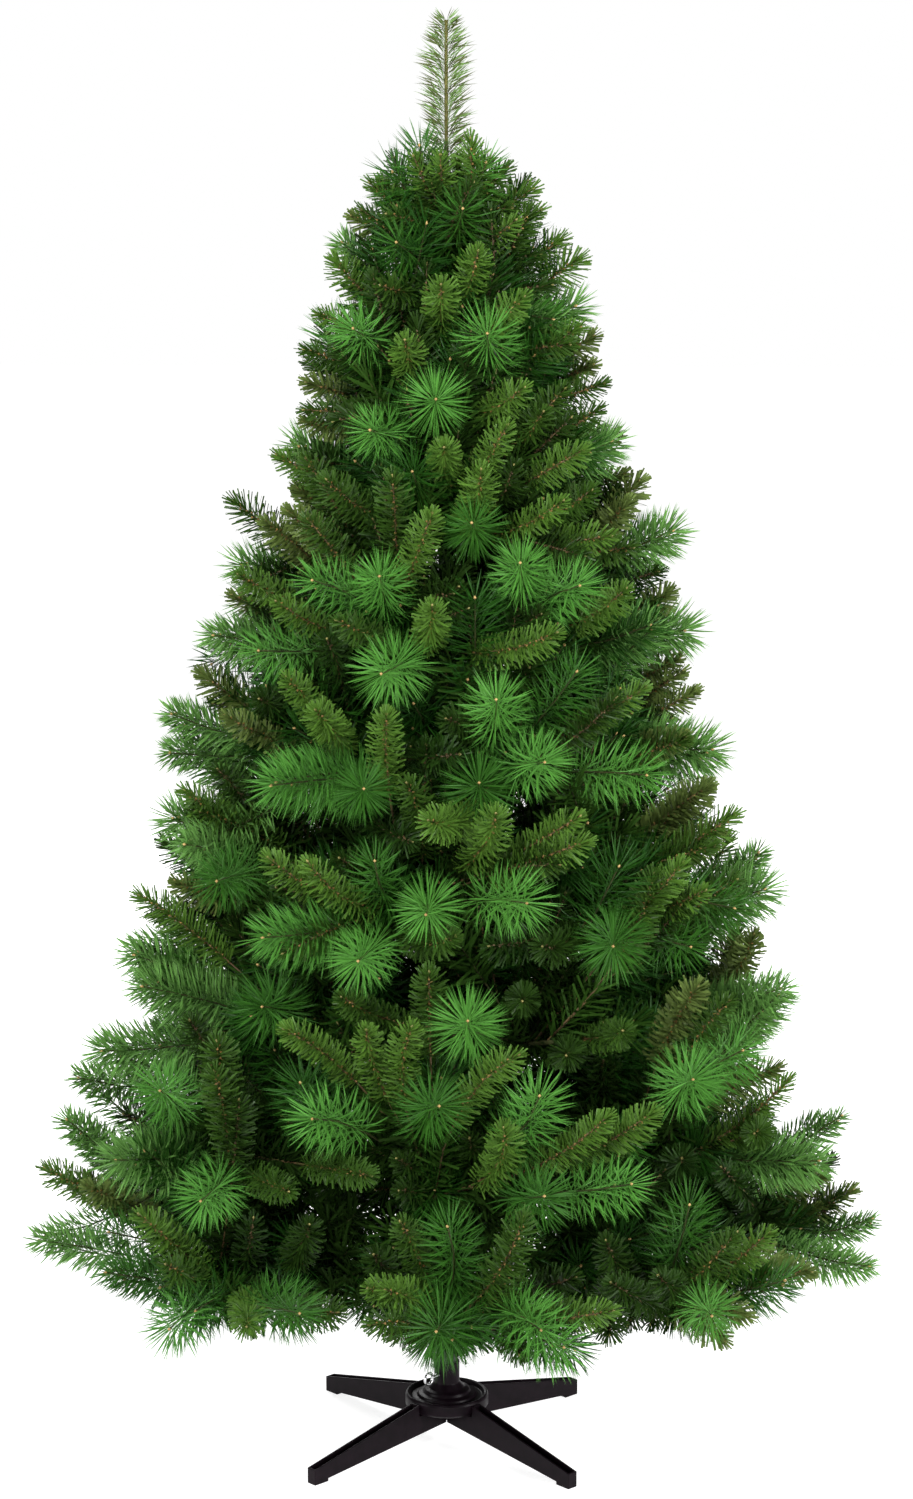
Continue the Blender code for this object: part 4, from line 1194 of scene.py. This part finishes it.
def grow_needles(sprays):
    """Joined meshes of the needles, by group and shade, and of the buds and stubs, by name."""
    heaps = {}
    ends = {"stubs": Heap(), "painted_shade_stubs": Heap(), "fir_buds": Heap(), "pine_buds": Heap()}
    for spray in sprays:
        group = GROUPS[spray.kind]
        heaps.setdefault((group, spray.shade), Heap())
        add_needles(heaps[group, spray.shade], spray)
        # The beads of darker sprays go in the darker brown: painted shade.
        brown = ends["stubs"] if spray.shade > 1 else ends["painted_shade_stubs"]
        if group == "pine":
            add_bud(ends["pine_buds"], spray)
        if group == "fir":
            add_bud(ends["fir_buds"], spray)
            add_beads(brown, spray)
    return heaps, ends


def grow_twigs(sprays, stems):
    """Joined meshes of the firs' twigs, the other twigs with the stems, and the leader's stem."""
    twigs = {"fir_twigs": Heap(), "twigs": Heap(), "leader_stem": Heap()}
    for spray in sprays:
        _, end, _ = spray_span(spray, NEEDLES[spray.kind])
        if spray.kind == LEADER:
            points, directions = path_arrays(spray.path, np.linspace(0.0, end, LEADER_STEM_RINGS))
            radii = lobed(LEADER_STEM_RADIUS, points, STEM_SIDES)
            add_tube(twigs["leader_stem"], points, directions, radii, STEM_SIDES)
        else:
            heap = twigs["fir_twigs"] if GROUPS[spray.kind] == "fir" else twigs["twigs"]
            points, directions = path_arrays(spray.path, np.linspace(0.0, end, TWIG_RINGS))
            add_tube(heap, points, directions, np.linspace(*TWIG_RADII, TWIG_RINGS), TWIG_SIDES)
    for _, path in stems:
        add_twisted(twigs["twigs"], path, STEM_RADII, STEM_SIDES, STEM_STEP)
    return twigs


# The trunk, the boughs and the stand, finer than the solids that they replace

def lobed(radii, points, sides):
    """Radii of two strands twisted together: two lobes whose turn grows along the points."""
    steps = np.linalg.norm(np.diff(points, axis=0), axis=1)
    along = np.concatenate([[0.0], np.cumsum(steps)])
    angles = 2.0 * math.pi * np.arange(sides) / sides
    lobes = np.abs(np.cos(angles[None] - 2.0 * math.pi * along[:, None] / TWIST_PITCH))
    radii = np.broadcast_to(radii, len(points))
    return radii[:, None] * (1.0 - STRAND_DEPTH * (1.0 - lobes))


def add_twisted(heap, path, radii, sides, step):
    """A bough or stem of two twisted strands along a path."""
    start, control, end = path
    length = (control - start).length + (end - control).length
    rings = int(length / step) + 2
    points, directions = path_arrays(path, np.linspace(0.0, 1.0, rings))
    add_tube(heap, points, directions, lobed(np.linspace(*radii, rings), points, sides), sides)


def softened(profile, radius):
    """A profile of (radius, height) points with each inner corner rounded off."""
    points = [np.array(point, float) for point in profile]
    soft = [points[0]]
    for before, corner, after in zip(points, points[1:], points[2:]):
        ends = []
        for other in (before, after):
            length = np.linalg.norm(other - corner)
            ends.append(corner + (other - corner) * min(radius, SOFT_LIMIT * length) / length)
        for step in range(SOFT_STEPS + 1):
            soft.append(curve_point((ends[0], corner, ends[1]), step / SOFT_STEPS))
    soft.append(points[-1])
    return soft


def add_turned(heap, profile, sides):
    """A solid turned about Z from (radius, height) points, from the axis round to the axis."""
    foot, head = profile[0], profile[-1]
    rings = np.array(profile[1:-1])
    angles = 2.0 * math.pi * np.arange(sides) / sides
    around = np.stack([np.cos(angles), np.sin(angles)], axis=1)
    flat = rings[:, 0, None, None] * around[None]
    heights = np.broadcast_to(rings[:, 1, None, None], (len(rings), sides, 1))
    corners = np.concatenate([flat, heights], axis=2)
    add_rings(heap, corners, (0.0, 0.0, foot[1]), (0.0, 0.0, head[1]))


def pole_profile():
    """The pole's sections, narrower at each joint, with a rolled sleeve at the joints."""
    lower, middle, upper = POLE_RADII
    half = SLEEVE_HEIGHT / 2.0
    profile = [(0.0, POLE_FOOT), (lower, POLE_FOOT)]
    for joint, below, above in zip(POLE_JOINTS, (lower, middle), (middle, upper)):
        outside = below + SLEEVE_WALL
        groove = below + GROOVE_FLOOR
        profile += [(below, joint - half), (outside, joint - half)]
        for height in (joint - half + SLEEVE_GROOVE, joint + half - SLEEVE_GROOVE):
            profile += [(outside, height - GROOVE_HALF), (groove, height - GROOVE_HALF)]
            profile += [(groove, height + GROOVE_HALF), (outside, height + GROOVE_HALF)]
        profile += [(outside, joint + half), (above, joint + half)]
    return profile + [(upper, POLE_TOP), (0.0, POLE_TOP)]


def add_collar(heap, tier):
    """A collar with a flat for each mass, rounded corners and edges, and a groove round it."""
    plan = TIERS[tier]
    low = collar_height(tier) - COLLAR_HEIGHT / 2.0
    lip = COLLAR_EDGE
    steps = ((0.0, lip), (COLLAR_EDGE_STEP, COLLAR_EDGE_STEP), (lip, 0.0), (COLLAR_BAND, 0.0),
             (COLLAR_BAND + lip, lip))
    levels = [(low + rise, inset) for rise, inset in steps]
    levels.append((low + COLLAR_HEIGHT / 2.0, lip))
    levels += [(low + COLLAR_HEIGHT - rise, inset) for rise, inset in reversed(steps)]
    rings = []
    for height, inset in levels:
        core = collar_apothem(tier) - inset - COLLAR_CORNER
        ring = []
        for index in range(plan.masses):
            turn = plan.turn + 180.0 / plan.masses + 360.0 * index / plan.masses
            centre = polar(turn, core / math.cos(math.pi / plan.masses), height)
            for step in range(CORNER_STEPS + 1):
                swing = (step / CORNER_STEPS - 0.5) * 360.0 / plan.masses
                ring.append(tuple(centre + polar(turn + swing, COLLAR_CORNER, 0.0)))
        rings.append(ring)
    add_rings(heap, np.array(rings), (0.0, 0.0, low), (0.0, 0.0, low + COLLAR_HEIGHT))


def add_bracket(ears, pins, tier, index):
    """Two ears on a collar's flat and the pin through them, between which a branch hangs."""
    azimuth = branch_azimuth(tier, index)
    outward = polar(azimuth, 1.0, 0.0)
    across = polar(azimuth + 90.0, 1.0, 0.0)
    up = Vector((0.0, 0.0, 1.0))
    root = polar(azimuth, collar_apothem(tier), collar_height(tier))
    gap = BOUGH_RADII[0] if TIERS[tier].bough_reach else STEM_RADII[0]
    outline = [(-EAR_SUNK, -EAR_RADIUS), (EAR_REACH, -EAR_RADIUS)]
    for step in range(1, EAR_STEPS):
        angle = math.pi * (step / EAR_STEPS - 0.5)
        outline.append((EAR_REACH + EAR_RADIUS * math.cos(angle), EAR_RADIUS * math.sin(angle)))
    outline += [(EAR_REACH, EAR_RADIUS), (-EAR_SUNK, EAR_RADIUS)]
    count = len(outline)
    for side in (-1.0, 1.0):
        corners = []
        for offset in (gap + EAR_GAP, gap + EAR_GAP + EAR_WALL):
            for out, height in outline:
                corners.append(tuple(root + out * outward + height * up + side * offset * across))
        quads = [(i, (i + 1) % count, count + (i + 1) % count, count + i) for i in range(count)]
        triangles = [(0, i + 1, i) for i in range(1, count - 1)]
        triangles += [(count, count + i, count + i + 1) for i in range(1, count - 1)]
        if side < 0.0:
            quads = [face[::-1] for face in quads]
            triangles = [face[::-1] for face in triangles]
        ears.add(corners, quads, triangles)
    half = gap + EAR_GAP + EAR_WALL + PIN_BEYOND
    middle = np.array(root + EAR_REACH * outward)
    places = (-half, -half + PIN_HEAD, -half + PIN_HEAD, half - PIN_HEAD, half - PIN_HEAD, half)
    points = np.array([middle + place * np.array(across) for place in places])
    wide, thin = PIN_HEAD_WIDER * PIN_RADIUS, PIN_RADIUS
    directions = np.broadcast_to(np.array(across), points.shape)
    add_tube(pins, points, directions, (wide, wide, thin, thin, wide, wide), PIN_SIDES)


def make_trunk(paint, steel):
    pole, collars, pins = Heap(), Heap(), Heap()
    add_turned(pole, softened(pole_profile(), POLE_EDGE), POLE_SIDES)
    for tier, plan in enumerate(TIERS):
        add_collar(collars, tier)
        for index in range(plan.masses):
            add_bracket(collars, pins, tier, index)
    for name, heap, material, smooth in (
        ("trunk_pole", pole, paint, True),
        ("trunk_collars", collars, paint, False),
        ("trunk_pins", pins, steel, False),
    ):
        add_piece(name, heap.mesh(name, smooth), material, ["trunk"])


def make_boughs(boughs, paint):
    for name, path in boughs:
        heap = Heap()
        add_twisted(heap, path, BOUGH_RADII, BOUGH_SIDES, BOUGH_STEP)
        wire = name + "_wire"
        add_piece(wire, heap.mesh(wire), paint, [name])


def hub_profile():
    seat = LEG_SEAT_TOP + CLEARANCE
    bore = POLE_RADII[0] + CLEARANCE
    underside = LEG_ROOT_UNDERSIDE + HUB_SPIGOT_LIFT
    profile = [
        (0.0, underside),
        (HUB_SPIGOT_RADIUS, underside),
        (HUB_SPIGOT_RADIUS, seat),
        (HUB_RADIUS - HUB_EDGE, seat),
        (HUB_RADIUS, seat + HUB_EDGE_HEIGHT),
    ]
    profile += [(HUB_RADIUS - inset, HUB_RIM_TOP + height) for inset, height in HUB_RINGS]
    profile += [(SOCKET_RADIUS, SOCKET_TOP), (bore, SOCKET_TOP), (bore, POLE_FOOT - CLEARANCE)]
    return profile + [(0.0, POLE_FOOT - CLEARANCE)]


def leg_underside(along):
    start = LEG_WIDTH / 2.0
    share = (along - start) / (LEG_REACH - PAD_LENGTH - start)
    return LEG_ROOT_UNDERSIDE + (LEG_FOOT_UNDERSIDE - LEG_ROOT_UNDERSIDE) * share


def extruded(name, outline, width):
    """An object from an outline of (along, height) points, given width across the Y axis."""
    count = len(outline)
    mesh = bpy.data.meshes.new(name)
    points = [(x, y, z) for y in (-width / 2.0, width / 2.0) for x, z in outline]
    faces = [tuple(range(count)), tuple(range(2 * count - 1, count - 1, -1))]
    faces += [(i, count + i, count + (i + 1) % count, (i + 1) % count) for i in range(count)]
    mesh.from_pydata(points, [], faces)
    return placed(name, mesh)


def leg_shape():
    """A leg along +X with softened edges: a channel open at its top, and a pad under its end."""
    inner = LEG_WIDTH / 2.0 + LEG_INNER_GAP
    pad = LEG_REACH - PAD_LENGTH
    shoulder = HUB_RADIUS + LEG_TO_HUB_GAP
    body = extruded("leg_body", (
        (inner, leg_underside(inner)), (pad, leg_underside(pad)), (pad, 0.0), (LEG_REACH, 0.0),
        (LEG_REACH, LEG_FOOT_TOP), (shoulder, LEG_ROOT_TOP),
        (shoulder, LEG_SEAT_TOP), (inner, LEG_SEAT_TOP),
    ), LEG_WIDTH)
    start = shoulder + LEG_WALL
    end = LEG_REACH - LEG_WALL
    above = LEG_ROOT_TOP + LEG_WIDTH
    groove = extruded("leg_groove", (
        (start, leg_underside(start) + LEG_WALL), (end, leg_underside(pad) + LEG_WALL),
        (end, above), (start, above),
    ), LEG_WIDTH - 2.0 * LEG_WALL)
    cut = body.modifiers.new("cut", "BOOLEAN")
    cut.operation = "DIFFERENCE"
    cut.solver = "EXACT"
    cut.object = groove
    edge = body.modifiers.new("edge", "BEVEL")
    edge.width = LEG_EDGE
    edge.segments = LEG_EDGE_STEPS
    edge.limit_method = "ANGLE"
    edge.use_clamp_overlap = True
    bpy.context.view_layer.update()
    evaluated = body.evaluated_get(bpy.context.evaluated_depsgraph_get())
    mesh = bpy.data.meshes.new_from_object(evaluated)
    for helper in (body, groove):
        bpy.data.objects.remove(helper)
    return mesh


def make_stand(plastic, steel):
    hub = Heap()
    add_turned(hub, softened(hub_profile(), HUB_SOFTNESS), HUB_SIDES)
    add_piece("hub_dish", hub.mesh("hub_dish"), plastic, ["stand_hub"])
    shape = leg_shape()
    for index in range(LEGS):
        mesh = shape.copy()
        turn = math.radians(LEG_FIRST_TURN + 360.0 / LEGS * index)
        mesh.transform(Euler((0.0, 0.0, turn)).to_matrix().to_4x4())
        leg = f"leg_{index + 1}"
        add_piece(leg, mesh, plastic, ["stand_" + leg])
    outward = np.array(polar(SCREW_AZIMUTH, 1.0, 0.0))
    foot = (SOCKET_RADIUS + CLEARANCE) * outward + np.array((0.0, 0.0, SCREW_HEIGHT))
    screw = Heap()
    threads = int(SCREW_SHANK_LENGTH / THREAD_PITCH)
    places = np.linspace(0.0, SCREW_SHANK_LENGTH, 2 * threads + 1)
    points = foot + places[:, None] * outward
    radii = SCREW_SHANK_RADIUS - THREAD_DEPTH * (np.arange(len(places)) % 2)
    add_tube(screw, points, np.broadcast_to(outward, points.shape), radii, SCREW_SIDES)
    centre = foot + (SCREW_SHANK_LENGTH + SCREW_EYE_RADIUS - SCREW_EYE_WIRE / 2.0) * outward
    add_eye(screw, centre, outward)
    add_piece("eye_screw", screw.mesh("eye_screw"), steel, ["thumb_screw"])


def add_eye(heap, centre, outward):
    """The screw's upright ring of round wire."""
    up = np.array((0.0, 0.0, 1.0))
    across = np.cross(outward, up)
    turns = 2.0 * math.pi * np.arange(EYE_STEPS) / EYE_STEPS
    rounds = 2.0 * math.pi * np.arange(EYE_SIDES) / EYE_SIDES
    out = np.cos(turns)[:, None] * outward + np.sin(turns)[:, None] * up
    arms = np.cos(rounds)[None, :, None] * out[:, None] + np.sin(rounds)[None, :, None] * across
    corners = centre + SCREW_EYE_RADIUS * out[:, None] + SCREW_EYE_WIRE * arms
    index = np.arange(EYE_STEPS * EYE_SIDES).reshape(EYE_STEPS, EYE_SIDES)
    later = np.roll(index, -1, axis=0)
    beyond = [np.roll(ring, -1, axis=1) for ring in (later, index)]
    quads = np.stack([index, later, *beyond], axis=-1)
    heap.add(corners, quads.reshape(-1, 4))


# Materials

def add_node(tree, kind, **inputs):
    """A new node whose inputs are set, by name with _ for each space, to a value or an output."""
    node = tree.nodes.new(kind)
    set_inputs(tree, node, inputs)
    return node


def set_inputs(tree, node, inputs):
    for name, value in inputs.items():
        socket = node.inputs[name.replace("_", " ")]
        if isinstance(value, bpy.types.NodeSocket):
            tree.links.new(value, socket)
        else:
            socket.default_value = value


def material_with(name):
    """A new material, its nodes, and its shader."""
    material = bpy.data.materials.new(name)
    material.use_nodes = True
    return material, material.node_tree, material.node_tree.nodes["Principled BSDF"]


def needle_material(name, colour, gloss):
    material, tree, shader = material_with(name)
    set_inputs(tree, shader, {
        "Base Color": (*colour, 1.0), "Roughness": NEEDLE_ROUGHNESS, "Specular IOR Level": gloss})
    return material


def surface(name):
    """A mottled finish: two colours by a soft noise, and a fine grain as bump."""
    finish = FINISHES[name]
    material, tree, shader = material_with(name)
    place = add_node(tree, "ShaderNodeTexCoord").outputs["Object"]
    patches = add_node(
        tree, "ShaderNodeTexNoise", Scale=MOTTLE_SCALE, Detail=MOTTLE_DETAIL, Vector=place)
    tone = add_node(tree, "ShaderNodeValToRGB", Fac=patches.outputs["Fac"])
    for element, bound, colour in zip(tone.color_ramp.elements, MOTTLE_BOUNDS, finish.colours):
        element.position = bound
        element.color = (*colour, 1.0)
    smooth, rough = finish.roughness
    sheen = add_node(
        tree, "ShaderNodeMapRange", To_Min=smooth, To_Max=rough, Value=patches.outputs["Fac"])
    grain = add_node(tree, "ShaderNodeTexNoise", Scale=GRAIN_SCALE, Vector=place)
    relief = add_node(
        tree, "ShaderNodeBump",
        Strength=GRAIN_STRENGTH, Distance=GRAIN_DEPTH, Height=grain.outputs["Fac"])
    set_inputs(tree, shader, {
        "Base Color": tone.outputs["Color"], "Roughness": sheen.outputs["Result"],
        "Metallic": finish.metallic, "Specular IOR Level": finish.gloss,
        "Normal": relief.outputs["Normal"]})
    return material


# Camera, light and floor

def make_camera():
    data = bpy.data.cameras.new("camera")
    data.lens = CAMERA_LENS
    data.sensor_width = CAMERA_SENSOR
    data.clip_end = CAMERA_RANGE
    camera = placed("camera", data)
    camera.location = CAMERA_PLACE
    camera.rotation_euler = (math.radians(CAMERA_TILT), 0.0, math.radians(CAMERA_TURN))
    bpy.context.scene.camera = camera


def make_lights():
    for name, plan in LIGHTS.items():
        data = bpy.data.lights.new(name, "AREA")
        data.shape = "RECTANGLE"
        data.size, data.size_y = plan.size
        data.energy = plan.power
        light = placed(name, data)
        light.location = plan.place
        aim = Vector((0.0, 0.0, plan.aim_height)) - Vector(plan.place)
        light.rotation_mode = "QUATERNION"
        light.rotation_quaternion = aim.to_track_quat("-Z", "Y")


def make_world():
    """A white surround that the camera sees at full strength and that lights the tree less."""
    world = bpy.data.worlds.new("surround")
    bpy.context.scene.world = world
    world.use_nodes = True
    tree = world.node_tree
    felt = tree.nodes["Background"]
    set_inputs(tree, felt, {"Color": WHITE, "Strength": SURROUND_FELT})
    seen = add_node(tree, "ShaderNodeBackground", Color=WHITE, Strength=SURROUND_SEEN)
    ray = add_node(tree, "ShaderNodeLightPath")
    mix = add_node(tree, "ShaderNodeMixShader", Fac=ray.outputs["Is Camera Ray"])
    for socket, background in zip(mix.inputs[1:], (felt, seen)):
        tree.links.new(background.outputs["Background"], socket)
    tree.links.new(mix.outputs["Shader"], tree.nodes["World Output"].inputs["Surface"])


def make_floor():
    """A pale floor, which glows at a distance as bright as the surround."""
    heap = Heap()
    half = FLOOR_HALF
    corners = [(-half, -half, 0), (half, -half, 0), (half, half, 0), (-half, half, 0)]
    heap.add(corners, [(0, 1, 2, 3)])
    floor = placed("floor", heap.mesh("floor"))
    material, tree, shader = material_with("floor")
    away = tree.nodes.new("ShaderNodeVectorMath")
    away.operation = "LENGTH"
    place = add_node(tree, "ShaderNodeTexCoord")
    tree.links.new(place.outputs["Object"], away.inputs[0])
    near, far = GLOW_DISTANCES
    dim, full = GLOW_STRENGTHS
    glow = add_node(
        tree, "ShaderNodeMapRange",
        From_Min=near, From_Max=far, To_Min=dim, To_Max=full, Value=away.outputs["Value"])
    set_inputs(tree, shader, {
        "Base Color": FLOOR_GREY, "Roughness": FLOOR_ROUGHNESS, "Emission Color": WHITE,
        "Emission Strength": glow.outputs["Result"]})
    floor.data.materials.append(material)


def make_foliage(sprays, stems):
    """Needles, buds, beads and twigs. Each piece replaces all the masses, whose stems it is on."""
    masses = [name for name, _ in stems]
    heaps, ends = grow_needles(sprays)
    # One material to each shade: the darker ones are painted shade, the outline's is painted light.
    for (group, shade), heap in sorted(heaps.items()):
        name = f"{group}_needles_{shade + 1}"
        material = needle_material(name, SHADES[group][shade], GLOSS[group])
        add_piece(name, heap.mesh(name), material, masses)
    for name, heap in ends.items():
        add_piece(name, heap.mesh(name), surface(name), masses)
    for name, heap in grow_twigs(sprays, stems).items():
        add_piece(name, heap.mesh(name), surface(name), masses)


def main():
    bpy.context.scene.view_settings.view_transform = "Standard"
    make_camera()
    make_world()
    make_lights()
    make_floor()
    boughs, stems, sprays = plan_tree()
    make_foliage(sprays, stems)
    paint = surface("paint")
    steel = surface("steel")
    make_trunk(paint, steel)
    make_boughs(boughs, paint)
    make_stand(surface("plastic"), steel)


main()
